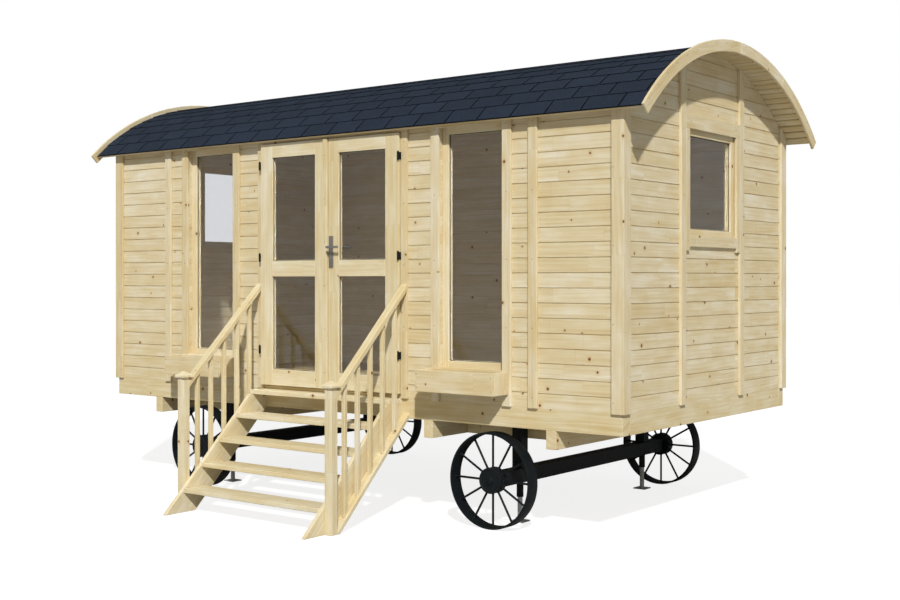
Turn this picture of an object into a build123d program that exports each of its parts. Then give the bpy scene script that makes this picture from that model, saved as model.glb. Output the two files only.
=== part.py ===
"""Shepherd's hut: a timber cabin with a bowed roof on four spoked wheels.

Millimetres, +Z up, ground at z = 0.  The door side is the front and faces -Y, +X runs along the hut's
length to the right-hand gable.  The origin lies on the ground, under the middle of the whole object,
stairs included.
"""
import os
from math import asin, atan2, cos, degrees, radians, sin

from build123d import *

os.makedirs("parts", exist_ok=True)

# ---------------------------------------------------------------- driving dimensions
body_length = 4830.0            # over the outer faces of the boards, gable to gable
body_width = 2437.0             # over the outer faces of the boards, front to back
wall_thickness = 90.0           # boards, studs and lining together

beam_bottom = 683.0             # underside of the base beams above the ground
beam_height = 136.0
beam_thickness = 90.0
floor_boards_proud = 22.0       # the floor boards stand this much above the base beams

bearer_width = 75.0
bearer_depth = 120.0
bearer_inner_x = 905.0
bearer_outer_x = 1897.0

roof_tip_height = 2680.0        # outer corner of the bargeboard at the eaves
roof_rise = 560.0               # from there to the ridge
eaves_overhang = 126.5
gable_overhang = 215.0
barge_depth = 80.0
barge_thickness = 20.0
barge_proud = 30.0              # the bargeboards stand this much above the shingles
eaves_setback = 30.0            # the roof boards end this far inside the bargeboards' ends, along the curve
barge_segments = 4
barge_joint = 1.0
shingle_thickness = 6.0
deck_thickness = 19.0

trim_thickness = 20.0           # battens, casings and corner trims are planed from one board
trim_bottom_drop = 2.0          # they run this much below the lowest wall board
corner_trim_width = 90.0
front_batten_width = 70.0
front_batten_x = 1766.5
back_batten_x = 710.0
gable_batten_width = 70.0
gable_batten_y = 450.0

front_window_x = 1269.0
front_window_width = 521.0      # between the casings
front_window_bottom = 1050.0
front_window_top = 2662.0
gable_window_width = 718.0
gable_window_bottom = 1934.0
gable_window_top = 2640.0
head_casing_height = 97.0
sill_casing_height = 76.0
side_casing_drop = 105.0        # the gable's side casings end this much below the opening
frame_face = 42.0               # window frame that shows inside the casings
frame_lap = 10.0                # window frame that the casings cover
front_frame_recess = 38.0       # frame face behind the outer face of the boards, in the front windows
gable_frame_recess = 8.0        # and in the gable windows
frame_depth = 50.0
pane_setback = 18.0             # outer glass face behind the frame face
pane_thickness = 6.0

leaf_bottom = 850.0
leaf_eaves_gap = 7.0            # the open leaves pass this far under the lower edge of the roof deck
leaf_thickness = 44.0
leaf_proud = 41.0               # outer face of the leaves in front of the boards
doorway_half_width = 680.5      # between the jambs, each side of the centre line
jamb_gap = 5.0                  # between a leaf and its jamb
leaf_head_gap = 5.0
meeting_x = 16.5                # the leaves meet beside the centre line, behind the edge of the cover strip
meeting_gap = 5.0
meeting_bevel = 4.0             # taken off the inner corner of each meeting edge so that it clears
hanging_stile = 121.0
glass_from_centre = 116.0       # edge of the glass nearest the centre line, on both leaves
lower_glass_bottom = 970.0
lower_glass_top = 1662.0
upper_glass_bottom = 1779.0
upper_glass_top = 2550.0
cover_strip_width = 40.0
cover_strip_thickness = 16.0
jamb_thickness = 35.0
stop_width = 18.0
stop_thickness = 40.0
stop_gap = 4.0
door_casing_width = 52.5

hinge_height = 50.0
hinge_barrel_radius = 8.0
hinge_pin_radius = 3.0
hinge_pin_clearance = 0.05
hinge_leaf_thickness = 2.0
hinge_leaf_depth = 42.0
hinge_knuckle_gap = 0.5
hinge_knuckle_room = 5.0        # cut around the door's knuckle, so that it turns freely
hinge_middle_z = 1805.0
hinge_spacing = 690.0

plate_width = 38.0
plate_height = 228.0
plate_thickness = 6.0
plate_x = 48.0
plate_middle_z = 1839.0
lever_z = 1872.0
lever_length = 115.0
lever_height = 16.0
lever_thickness = 10.0
lever_neck_radius = 9.0
lever_neck_clearance = 0.1
lever_reach = 53.0              # from the leaf to the lever's outer face
lever_setback = 1.0             # between the neck's end and the leaf
spindle_radius = 4.0
spindle_clearance = 1.0

step_rise = 162.0
step_going = 166.0
step_count = 5
top_step_z = 818.0
top_step_depth = 150.0
tread_thickness = 32.0
tread_depth = 186.0
stair_half_width = 681.5        # outer faces of the stringers
stringer_thickness = 30.0
stringer_width = 190.0
stringer_setback = 14.0         # stringer edge behind the treads' front edges
newel_size = 60.0
newel_height = 945.0
newel_cap_size = 92.0
newel_cap_edge = 15.0
newel_cap_peak = 30.0
rail_width = 56.0
rail_thickness = 36.0
rail_top_at_wall = 1613.0
base_rail_thickness = 28.0
base_rail_toe = 13.0            # upper edge of the base rail above the ground, where it meets the newel
baluster_size = 28.0
baluster_count = 5

box_length = 630.0
box_depth = 182.0
box_height = 147.0
box_bottom = 895.0
box_board = 20.0

axle_x = 1415.0
axle_forward = 10.0             # middle of the axles in front of the middle of the hut
axle_size = 95.0
axle_wall = 5.0
axle_half_length = 1100.0
spindle_stub_radius = 25.0
spindle_stub_length = 82.0
leg_size = 76.0
leg_y = 848.0
wheel_radius = 318.5
wheel_width = 102.0
wheel_middle_y = 1163.0
rim_thickness = 14.0
hub_radius = 86.0
hub_width = 76.0
hub_outer_y = 1203.0
hub_clearance = 0.05
bore_end_gap = 5.0              # between the end of the stub and the bottom of its bore
spoke_count = 12
spoke_radius = 7.5
spoke_overrun = 4.0             # spokes are cut this much long, then shaped to the hub and the rim

sleeve_radius = 23.5
sleeve_bottom = 168.0
jack_tube_radius = 17.0
jack_clearance = 0.3
jack_tube_top = 255.0
foot_size = 100.0
foot_thickness = 8.0

# ---------------------------------------------------------------- what follows from them
half_length = body_length / 2
wall_bottom = beam_bottom + beam_height
floor_top = wall_bottom + floor_boards_proud

roof_half_span = body_width / 2 + eaves_overhang
roof_radius = (roof_half_span**2 + roof_rise**2) / (2 * roof_rise)
roof_centre_z = roof_tip_height + roof_rise - roof_radius
roof_half_angle = degrees(asin(roof_half_span / roof_radius))
shingle_radius = roof_radius - barge_proud
deck_radius = shingle_radius - shingle_thickness
under_roof_radius = deck_radius - deck_thickness
deck_half_angle = roof_half_angle - degrees(eaves_setback / deck_radius)
roof_edge_under_z = roof_centre_z + under_roof_radius * cos(radians(deck_half_angle))
leaf_top = roof_edge_under_z - leaf_eaves_gap
barge_outer_x = half_length + gable_overhang
barge_inner_x = barge_outer_x - barge_thickness

stair_slope = atan2(step_rise, step_going)
top_step_front = body_width / 2 + top_step_depth
stair_foot = top_step_front + (top_step_z / step_rise) * step_going - stringer_setback

hut_y = (stair_foot - roof_half_span) / 2       # the hut's centre line, front to back
front = hut_y - body_width / 2                  # outer face of the front boards
back = hut_y + body_width / 2
inner_x = half_length - wall_thickness
inner_front = front + wall_thickness
inner_back = back - wall_thickness
trim_front = front - trim_thickness             # outer face of the front trims
trim_bottom = wall_bottom - trim_bottom_drop


def block(xs, ys, zs, mode=Mode.ADD):
    """A box between two values on each axis, given in either order."""
    with Locations(((xs[0] + xs[1]) / 2, (ys[0] + ys[1]) / 2, (zs[0] + zs[1]) / 2)):
        Box(abs(xs[1] - xs[0]), abs(ys[1] - ys[0]), abs(zs[1] - zs[0]), mode=mode)


def trim_to_roof():
    """Cut the piece in hand to the underside of the bowed roof deck."""
    with Locations(Location((0, hut_y, roof_centre_z), (0, 90, 0))):
        Cylinder(under_roof_radius, 2 * barge_outer_x, mode=Mode.INTERSECT)


def arc_band(x, inner_radius, outer_radius, start_angle, sweep):
    """A face across the hut at x, between two arcs about the roof's centre, angles from the horizontal."""
    centre = (hut_y, roof_centre_z)
    with BuildSketch(Plane.YZ.offset(x)) as band:
        with BuildLine():
            outer_arc = CenterArc(centre, outer_radius, start_angle, sweep)
            inner_arc = CenterArc(centre, inner_radius, start_angle, sweep)
            Line(outer_arc @ 0, inner_arc @ 0)
            Line(outer_arc @ 1, inner_arc @ 1)
        make_face()
    return band.sketch


def outline(plane, *points):
    """A flat face with straight edges on the given plane."""
    with BuildSketch(plane) as face:
        with BuildLine():
            Polyline(*points, close=True)
        make_face()
    return face.sketch


# ---------------------------------------------------------------- base frame and floor
with BuildPart() as base_beams_long:
    for y_outer, y_inner in ((front, front + beam_thickness), (back, back - beam_thickness)):
        block((-half_length, half_length), (y_outer, y_inner), (beam_bottom, wall_bottom))
base_beams_long.part.label = "base_beams_long"
export_step(base_beams_long.part, "parts/base_beams_long.step")

with BuildPart() as base_beams_end:
    for side in (-1, 1):
        block(
            (side * half_length, side * (half_length - beam_thickness)),
            (front + beam_thickness, back - beam_thickness),
            (beam_bottom, wall_bottom),
        )
base_beams_end.part.label = "base_beams_end"
export_step(base_beams_end.part, "parts/base_beams_end.step")

with BuildPart() as floor:
    block(
        (-half_length + beam_thickness, half_length - beam_thickness),
        (front + beam_thickness, back - beam_thickness),
        (beam_bottom, wall_bottom),
    )
    block((-inner_x, inner_x), (inner_front, inner_back), (wall_bottom, floor_top))
floor.part.label = "floor"
export_step(floor.part, "parts/floor.step")

with BuildPart() as bearers:
    for x in (-bearer_outer_x, -bearer_inner_x, bearer_inner_x, bearer_outer_x):
        block(
            (x - bearer_width / 2, x + bearer_width / 2),
            (front, back),
            (beam_bottom - bearer_depth, beam_bottom),
        )
bearers.part.label = "bearers"
export_step(bearers.part, "parts/bearers.step")

# ---------------------------------------------------------------- walls
# Framed panels: full-height piers between the openings, with panels under and over each opening.
front_hole_half = front_window_width / 2 + frame_lap
front_hole_bottom = front_window_bottom - frame_lap
front_hole_top = front_window_top + frame_lap
gable_hole_half = gable_window_width / 2 + frame_lap
gable_hole_bottom = gable_window_bottom - frame_lap
gable_hole_top = gable_window_top + frame_lap
door_hole_half = doorway_half_width + jamb_thickness
door_hole_top = leaf_top + leaf_head_gap
wall_ceiling = roof_centre_z + under_roof_radius      # walls are built to here, then cut to the roof

with BuildPart() as front_wall_piers:
    for side in (-1, 1):
        for near, far in (
            (door_hole_half, front_window_x - front_hole_half),
            (front_window_x + front_hole_half, half_length),
        ):
            block((side * near, side * far), (front, inner_front), (wall_bottom, wall_ceiling))
    trim_to_roof()
front_wall_piers.part.label = "front_wall_piers"
export_step(front_wall_piers.part, "parts/front_wall_piers.step")

with BuildPart() as gable_wall_sides:
    for side in (-1, 1):
        for y_outer, y_inner in (
            (inner_front, hut_y - gable_hole_half),
            (inner_back, hut_y + gable_hole_half),
        ):
            block((side * inner_x, side * half_length), (y_outer, y_inner), (wall_bottom, wall_ceiling))
    trim_to_roof()
gable_wall_sides.part.label = "gable_wall_sides"
export_step(gable_wall_sides.part, "parts/gable_wall_sides.step")

with BuildPart() as back_wall:
    block((-half_length, half_length), (inner_back, back), (wall_bottom, wall_ceiling))
    trim_to_roof()
back_wall.part.label = "back_wall"
export_step(back_wall.part, "parts/back_wall.step")

with BuildPart() as walls_under_windows:
    for side in (-1, 1):
        block(
            (side * front_window_x - front_hole_half, side * front_window_x + front_hole_half),
            (front, inner_front),
            (wall_bottom, front_hole_bottom),
        )
        block(
            (side * inner_x, side * half_length),
            (hut_y - gable_hole_half, hut_y + gable_hole_half),
            (wall_bottom, gable_hole_bottom),
        )
walls_under_windows.part.label = "walls_under_windows"
export_step(walls_under_windows.part, "parts/walls_under_windows.step")

with BuildPart() as walls_over_openings:
    block((-door_hole_half, door_hole_half), (front, inner_front), (door_hole_top, wall_ceiling))
    for side in (-1, 1):
        block(
            (side * front_window_x - front_hole_half, side * front_window_x + front_hole_half),
            (front, inner_front),
            (front_hole_top, wall_ceiling),
        )
        block(
            (side * inner_x, side * half_length),
            (hut_y - gable_hole_half, hut_y + gable_hole_half),
            (gable_hole_top, wall_ceiling),
        )
    trim_to_roof()
walls_over_openings.part.label = "walls_over_openings"
export_step(walls_over_openings.part, "parts/walls_over_openings.step")

# ---------------------------------------------------------------- roof
deck_start = 90 - deck_half_angle
with BuildPart() as roof_deck:
    band = arc_band(-barge_inner_x, under_roof_radius, deck_radius, deck_start, 2 * deck_half_angle)
    extrude(band, amount=2 * barge_inner_x, dir=(1, 0, 0))
roof_deck.part.label = "roof_deck"
export_step(roof_deck.part, "parts/roof_deck.step")

with BuildPart() as roof_shingles:
    band = arc_band(-barge_inner_x, deck_radius, shingle_radius, deck_start, 2 * deck_half_angle)
    extrude(band, amount=2 * barge_inner_x, dir=(1, 0, 0))
roof_shingles.part.label = "roof_shingles"
export_step(roof_shingles.part, "parts/roof_shingles.step")

# Each bargeboard is sawn from short curved lengths, butted with an open joint.
barge_joint_angle = degrees(barge_joint / roof_radius)
barge_pitch = 2 * roof_half_angle / barge_segments
with BuildPart() as bargeboards:
    for x in (-barge_outer_x, barge_inner_x):
        for segment in range(barge_segments):
            start = 90 - roof_half_angle + segment * barge_pitch + barge_joint_angle / 2
            sweep_angle = barge_pitch - barge_joint_angle
            band = arc_band(x, roof_radius - barge_depth, roof_radius, start, sweep_angle)
            extrude(band, amount=barge_thickness, dir=(1, 0, 0))
bargeboards.part.label = "bargeboards"
export_step(bargeboards.part, "parts/bargeboards.step")

# ---------------------------------------------------------------- corner trims, battens and casings
with BuildPart() as corner_trims:
    for side in (-1, 1):
        for wall_y, outward in ((front, -1), (back, 1)):
            outer_x = half_length + trim_thickness
            outer_y = wall_y + outward * trim_thickness
            zs = (trim_bottom, wall_ceiling)
            block((side * outer_x, side * (outer_x - corner_trim_width)), (outer_y, wall_y), zs)
            block(
                (side * outer_x, side * half_length),
                (outer_y, outer_y - outward * corner_trim_width),
                zs,
            )
    trim_to_roof()
corner_trims.part.label = "corner_trims"
export_step(corner_trims.part, "parts/corner_trims.step")

front_window_batten_x = (
    front_window_x - (front_window_width + front_batten_width) / 2,
    front_window_x + (front_window_width + front_batten_width) / 2,
)
with BuildPart() as wall_battens:
    for side in (-1, 1):
        zs = (trim_bottom, wall_ceiling)
        for x in (front_batten_x, *front_window_batten_x):
            xs = (side * x - front_batten_width / 2, side * x + front_batten_width / 2)
            block(xs, (trim_front, front), zs)
        for x in (front_batten_x, back_batten_x):
            xs = (side * x - front_batten_width / 2, side * x + front_batten_width / 2)
            block(xs, (back, back + trim_thickness), zs)
        for y_side in (-1, 1):
            y = hut_y + y_side * gable_batten_y
            ys = (y - gable_batten_width / 2, y + gable_batten_width / 2)
            block((side * half_length, side * (half_length + trim_thickness)), ys, zs)
    trim_to_roof()
wall_battens.part.label = "wall_battens"
export_step(wall_battens.part, "parts/wall_battens.step")

with BuildPart() as door_casings:
    for side in (-1, 1):
        block(
            (side * doorway_half_width, side * (doorway_half_width + door_casing_width)),
            (trim_front, front),
            (wall_bottom, door_hole_top),
        )
door_casings.part.label = "door_casings"
export_step(door_casings.part, "parts/door_casings.step")

gable_batten_inner = gable_batten_y - gable_batten_width / 2
with BuildPart() as cross_casings:
    casing_half = doorway_half_width + door_casing_width
    block((-casing_half, casing_half), (trim_front, front), (door_hole_top, wall_ceiling))
    for side in (-1, 1):
        xs = (side * front_window_x - front_window_width / 2, side * front_window_x + front_window_width / 2)
        block(xs, (trim_front, front), (front_window_top, wall_ceiling))
        block(xs, (trim_front, front), (front_window_bottom - sill_casing_height, front_window_bottom))
        xs = (side * half_length, side * (half_length + trim_thickness))
        ys = (hut_y - gable_batten_inner, hut_y + gable_batten_inner)
        block(xs, ys, (gable_window_top, gable_window_top + head_casing_height))
        ys = (hut_y - gable_window_width / 2, hut_y + gable_window_width / 2)
        block(xs, ys, (gable_window_bottom - sill_casing_height, gable_window_bottom))
    trim_to_roof()
cross_casings.part.label = "cross_casings"
export_step(cross_casings.part, "parts/cross_casings.step")

with BuildPart() as gable_side_casings:
    for side in (-1, 1):
        for y_side in (-1, 1):
            block(
                (side * half_length, side * (half_length + trim_thickness)),
                (hut_y + y_side * gable_window_width / 2, hut_y + y_side * gable_batten_inner),
                (gable_window_bottom - side_casing_drop, gable_window_top),
            )
gable_side_casings.part.label = "gable_side_casings"
export_step(gable_side_casings.part, "parts/gable_side_casings.step")

# ---------------------------------------------------------------- windows
# Fixed lights: stiles run the full height, rails fit between them, and the pane fills the opening.
frame_width = frame_face + frame_lap
frame_front = front + front_frame_recess
frame_outer_x = half_length - gable_frame_recess
front_glass_half = front_window_width / 2 - frame_face
gable_glass_half = gable_window_width / 2 - frame_face

with BuildPart() as window_frame_stiles:
    for side in (-1, 1):
        for edge in (-1, 1):
            x = side * front_window_x
            block(
                (x + edge * front_glass_half, x + edge * front_hole_half),
                (frame_front, frame_front + frame_depth),
                (front_hole_bottom, front_hole_top),
            )
            block(
                (side * frame_outer_x, side * (frame_outer_x - frame_depth)),
                (hut_y + edge * gable_glass_half, hut_y + edge * gable_hole_half),
                (gable_hole_bottom, gable_hole_top),
            )
window_frame_stiles.part.label = "window_frame_stiles"
export_step(window_frame_stiles.part, "parts/window_frame_stiles.step")

with BuildPart() as window_frame_rails:
    for side in (-1, 1):
        x = side * front_window_x
        for z0, z1 in (
            (front_hole_bottom, front_hole_bottom + frame_width),
            (front_hole_top - frame_width, front_hole_top),
        ):
            block(
                (x - front_glass_half, x + front_glass_half),
                (frame_front, frame_front + frame_depth),
                (z0, z1),
            )
        for z0, z1 in (
            (gable_hole_bottom, gable_hole_bottom + frame_width),
            (gable_hole_top - frame_width, gable_hole_top),
        ):
            block(
                (side * frame_outer_x, side * (frame_outer_x - frame_depth)),
                (hut_y - gable_glass_half, hut_y + gable_glass_half),
                (z0, z1),
            )
window_frame_rails.part.label = "window_frame_rails"
export_step(window_frame_rails.part, "parts/window_frame_rails.step")

with BuildPart() as window_panes:
    for side in (-1, 1):
        x = side * front_window_x
        pane_y = frame_front + pane_setback
        block(
            (x - front_glass_half, x + front_glass_half),
            (pane_y, pane_y + pane_thickness),
            (front_hole_bottom + frame_width, front_hole_top - frame_width),
        )
        pane_x = frame_outer_x - pane_setback
        block(
            (side * pane_x, side * (pane_x - pane_thickness)),
            (hut_y - gable_glass_half, hut_y + gable_glass_half),
            (gable_hole_bottom + frame_width, gable_hole_top - frame_width),
        )
window_panes.part.label = "window_panes"
export_step(window_panes.part, "parts/window_panes.step")

# ---------------------------------------------------------------- door frame
leaf_outer = front - leaf_proud
leaf_inner = leaf_outer + leaf_thickness
stop_front = leaf_inner + stop_gap

with BuildPart() as door_jambs:
    for side in (-1, 1):
        block(
            (side * doorway_half_width, side * door_hole_half),
            (front, inner_front),
            (wall_bottom, door_hole_top),
        )
        block(
            (side * doorway_half_width, side * (doorway_half_width - stop_width)),
            (stop_front, stop_front + stop_thickness),
            (floor_top, door_hole_top),
        )
door_jambs.part.label = "door_jambs"
export_step(door_jambs.part, "parts/door_jambs.step")

with BuildPart() as door_sill:
    block(
        (-doorway_half_width, doorway_half_width),
        (front, inner_front),
        (wall_bottom, floor_top),
    )
door_sill.part.label = "door_sill"
export_step(door_sill.part, "parts/door_sill.step")

# ---------------------------------------------------------------- doors, opening outwards
# Both leaves are hung on the outer corners of the frame.  The left leaf carries the cover strip, whose
# edge stops at its own meeting edge, so that either leaf can open by itself.
leaf_edge = doorway_half_width - jamb_gap
left_meeting_x = meeting_x - meeting_gap / 2
right_meeting_x = meeting_x + meeting_gap / 2
hinge_x = doorway_half_width - jamb_gap / 2
hinge_y = leaf_outer - hinge_barrel_radius
hinge_heights = [hinge_middle_z + i * hinge_spacing for i in (-1, 0, 1)]
knuckle = hinge_height / 3


def leaf_slab(hanging_x, meeting_edge_x):
    """A leaf before it is cut for glass, with the inner corner of its meeting edge planed back."""
    towards_hinge = 1 if hanging_x > meeting_edge_x else -1
    plan = outline(
        Plane.XY.offset(leaf_bottom),
        (hanging_x, leaf_outer),
        (meeting_edge_x, leaf_outer),
        (meeting_edge_x + towards_hinge * meeting_bevel, leaf_inner),
        (hanging_x, leaf_inner),
    )
    extrude(plan, amount=leaf_top - leaf_bottom, dir=(0, 0, 1))


glass_rows = ((lower_glass_bottom, lower_glass_top), (upper_glass_bottom, upper_glass_top))
glass_near = glass_from_centre
glass_far = leaf_edge - hanging_stile
spindle_hole = Location((plate_x, (leaf_outer + leaf_inner) / 2, lever_z), (90, 0, 0))

with BuildPart() as left_door_leaf:
    leaf_slab(-leaf_edge, left_meeting_x)
    for row in glass_rows:
        block((-glass_far, -glass_near), (leaf_outer, leaf_inner), row, mode=Mode.SUBTRACT)
left_door_leaf.part.label = "left_door_leaf"
export_step(left_door_leaf.part, "parts/left_door_leaf.step")

with BuildPart() as right_door_leaf:
    leaf_slab(leaf_edge, right_meeting_x)
    for row in glass_rows:
        block((glass_near, glass_far), (leaf_outer, leaf_inner), row, mode=Mode.SUBTRACT)
    with Locations(spindle_hole):
        Cylinder(spindle_radius + spindle_clearance, leaf_thickness, mode=Mode.SUBTRACT)
right_door_leaf.part.label = "right_door_leaf"
export_step(right_door_leaf.part, "parts/right_door_leaf.step")

pane_ys = (
    (leaf_outer + leaf_inner - pane_thickness) / 2,
    (leaf_outer + leaf_inner + pane_thickness) / 2,
)
with BuildPart() as left_door_glass:
    for row in glass_rows:
        block((-glass_far, -glass_near), pane_ys, row)
left_door_glass.part.label = "left_door_glass"
export_step(left_door_glass.part, "parts/left_door_glass.step")

with BuildPart() as right_door_glass:
    for row in glass_rows:
        block((glass_near, glass_far), pane_ys, row)
right_door_glass.part.label = "right_door_glass"
export_step(right_door_glass.part, "parts/right_door_glass.step")

with BuildPart() as left_door_cover_strip:
    block(
        (left_meeting_x - cover_strip_width, left_meeting_x),
        (leaf_outer - cover_strip_thickness, leaf_outer),
        (leaf_bottom, leaf_top),
    )
left_door_cover_strip.part.label = "left_door_cover_strip"
export_step(left_door_cover_strip.part, "parts/left_door_cover_strip.step")

# Butt hinges: the frame's leaf has the upper and lower knuckles and the pin, the door's leaf the middle
# knuckle, which turns on the pin.
knuckle_half = knuckle / 2 - hinge_knuckle_gap / 2
hinge_leaf_end = hinge_y + hinge_leaf_depth
with BuildPart() as frame_hinge_leaves:
    for side in (-1, 1):
        for z in hinge_heights:
            block(
                (side * doorway_half_width, side * (doorway_half_width - hinge_leaf_thickness)),
                (hinge_y, hinge_leaf_end),
                (z - hinge_height / 2, z + hinge_height / 2),
            )
            with Locations((side * hinge_x, hinge_y, z)):
                Cylinder(hinge_barrel_radius, hinge_height)
                Cylinder(
                    hinge_barrel_radius + hinge_knuckle_room,
                    knuckle + hinge_knuckle_gap,
                    mode=Mode.SUBTRACT,
                )
                Cylinder(hinge_pin_radius, hinge_height)
            block(
                (side * doorway_half_width, side * (doorway_half_width - hinge_leaf_thickness)),
                (hinge_y + hinge_barrel_radius + hinge_knuckle_room, hinge_leaf_end),
                (z - knuckle, z + knuckle),
            )
frame_hinge_leaves.part.label = "frame_hinge_leaves"
export_step(frame_hinge_leaves.part, "parts/frame_hinge_leaves.step")


def door_hinge_leaves(side):
    """The middle knuckles and flaps of one door's three hinges; side is -1 for the left door."""
    flap_outer = side * leaf_edge
    flap_inner = side * (leaf_edge + hinge_leaf_thickness)
    for z in hinge_heights:
        block(
            (flap_outer, flap_inner),
            (hinge_y, hinge_leaf_end),
            (z - knuckle_half, z + knuckle_half),
        )
        with Locations((side * hinge_x, hinge_y, z)):
            Cylinder(hinge_barrel_radius, 2 * knuckle_half)
            Cylinder(hinge_pin_radius + hinge_pin_clearance, hinge_height, mode=Mode.SUBTRACT)


with BuildPart() as left_door_hinge_leaves:
    door_hinge_leaves(-1)
left_door_hinge_leaves.part.label = "left_door_hinge_leaves"
export_step(left_door_hinge_leaves.part, "parts/left_door_hinge_leaves.step")

with BuildPart() as right_door_hinge_leaves:
    door_hinge_leaves(1)
right_door_hinge_leaves.part.label = "right_door_hinge_leaves"
export_step(right_door_hinge_leaves.part, "parts/right_door_hinge_leaves.step")

# Lever handle: a long plate on each face of the right leaf, and one lever turning on a through spindle.
plate_zs = (plate_middle_z - plate_height / 2, plate_middle_z + plate_height / 2)
plate_xs = (plate_x - plate_width / 2, plate_x + plate_width / 2)
with BuildPart() as right_door_handle_plates:
    block(plate_xs, (leaf_outer - plate_thickness, leaf_outer), plate_zs)
    block(plate_xs, (leaf_inner, leaf_inner + plate_thickness), plate_zs)
    with Locations(spindle_hole):
        Cylinder(
            lever_neck_radius + lever_neck_clearance,
            leaf_thickness + 4 * plate_thickness,
            mode=Mode.SUBTRACT,
        )
right_door_handle_plates.part.label = "right_door_handle_plates"
export_step(right_door_handle_plates.part, "parts/right_door_handle_plates.step")

with BuildPart() as door_lever:
    for face_y, outward in ((leaf_outer, -1), (leaf_inner, 1)):
        neck_start = face_y + outward * lever_setback
        neck_end = face_y + outward * (lever_reach - lever_thickness)
        with Locations(Location((plate_x, (neck_start + neck_end) / 2, lever_z), (90, 0, 0))):
            Cylinder(lever_neck_radius, abs(neck_end - neck_start))
        block(
            (plate_x - lever_neck_radius, plate_x - lever_neck_radius + lever_length),
            (neck_end, face_y + outward * lever_reach),
            (lever_z - lever_height / 2, lever_z + lever_height / 2),
        )
    with Locations(spindle_hole):
        Cylinder(spindle_radius, leaf_thickness + 2 * (lever_reach - lever_thickness))
door_lever.part.label = "door_lever"
export_step(door_lever.part, "parts/door_lever.step")

# ---------------------------------------------------------------- flower boxes under the front windows
box_back = trim_front
box_front = box_back - box_depth
with BuildPart() as flower_boxes:
    for side in (-1, 1):
        x0 = side * front_window_x - box_length / 2
        x1 = side * front_window_x + box_length / 2
        block((x0, x1), (box_front, box_back), (box_bottom, box_bottom + box_height))
        block(
            (x0 + box_board, x1 - box_board),
            (box_front + box_board, box_back - box_board),
            (box_bottom + box_board, box_bottom + box_height),
            mode=Mode.SUBTRACT,
        )
flower_boxes.part.label = "flower_boxes"
export_step(flower_boxes.part, "parts/flower_boxes.step")

# ---------------------------------------------------------------- stairs
# All sloping pieces run parallel to the line through the treads' front edges.
rise_per_y = step_rise / step_going
stringer_tip_y = hut_y - stair_foot
stringer_run = stringer_width / sin(stair_slope)
top_tread_under = top_step_z - tread_thickness
rail_drop = rail_thickness / cos(stair_slope)
base_rail_drop = base_rail_thickness / cos(stair_slope)


def stringer_front_z(y):
    return (y - stringer_tip_y) * rise_per_y


def stringer_back_z(y):
    return stringer_front_z(y - stringer_run)


with BuildPart() as stair_stringers:
    for x_start in (-stair_half_width, stair_half_width - stringer_thickness):
        side_view = outline(
            Plane.YZ.offset(x_start),
            (stringer_tip_y, 0),
            (stringer_tip_y + top_tread_under / rise_per_y, top_tread_under),
            (front, top_tread_under),
            (front, stringer_back_z(front)),
            (stringer_tip_y + stringer_run, 0),
        )
        extrude(side_view, amount=stringer_thickness, dir=(1, 0, 0))
stair_stringers.part.label = "stair_stringers"
export_step(stair_stringers.part, "parts/stair_stringers.step")

with BuildPart() as stair_treads:
    inside = stair_half_width - stringer_thickness
    for step in range(1, step_count):
        tread_top = top_step_z - step * step_rise
        tread_front = front - top_step_depth - step * step_going
        block(
            (-inside, inside),
            (tread_front, tread_front + tread_depth),
            (tread_top - tread_thickness, tread_top),
        )
    block(
        (-stair_half_width, stair_half_width),
        (front - top_step_depth, front),
        (top_tread_under, top_step_z),
    )
stair_treads.part.label = "stair_treads"
export_step(stair_treads.part, "parts/stair_treads.step")

# Each newel stands where the base rail behind it comes down to the ground.
newel_x = stair_half_width + newel_size / 2
newel_back = stringer_tip_y + stringer_run + (base_rail_toe - base_rail_drop) / rise_per_y
newel_y = newel_back - newel_size / 2
with BuildPart() as stair_newels:
    for side in (-1, 1):
        block(
            (side * newel_x - newel_size / 2, side * newel_x + newel_size / 2),
            (newel_y - newel_size / 2, newel_back),
            (0, newel_height),
        )
        cap_half = newel_cap_size / 2
        block(
            (side * newel_x - cap_half, side * newel_x + cap_half),
            (newel_y - cap_half, newel_y + cap_half),
            (newel_height, newel_height + newel_cap_edge),
        )
        with BuildSketch(Plane.XY.offset(newel_height + newel_cap_edge)):
            with Locations((side * newel_x, newel_y)):
                Rectangle(newel_cap_size, newel_cap_size)
        with BuildSketch(Plane.XY.offset(newel_height + newel_cap_edge + newel_cap_peak)):
            with Locations((side * newel_x, newel_y)):
                Rectangle(newel_cap_edge, newel_cap_edge)
        loft()
stair_newels.part.label = "stair_newels"
export_step(stair_newels.part, "parts/stair_newels.step")

# Handrail and base rail lie one above the other, outside the stringer, with the balusters between.
def rail_top_z(y):
    return rail_top_at_wall + (y - trim_front) * rise_per_y


def base_rail_top_z(y):
    return stringer_back_z(y) + base_rail_drop


def rail_under_z(y):
    return rail_top_z(y) - rail_drop


def sloping_bar(x_middle, width, y_start, y_end, upper_z, lower_z):
    """A bar between two sloping lines, with upright ends; each line gives its height at a place y."""
    side_view = outline(
        Plane.YZ.offset(x_middle - width / 2),
        (y_start, upper_z(y_start)),
        (y_end, upper_z(y_end)),
        (y_end, lower_z(y_end)),
        (y_start, lower_z(y_start)),
    )
    extrude(side_view, amount=width, dir=(1, 0, 0))


with BuildPart() as stair_handrails:
    for side in (-1, 1):
        sloping_bar(side * newel_x, rail_width, newel_back, trim_front, rail_top_z, rail_under_z)
stair_handrails.part.label = "stair_handrails"
export_step(stair_handrails.part, "parts/stair_handrails.step")

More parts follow.
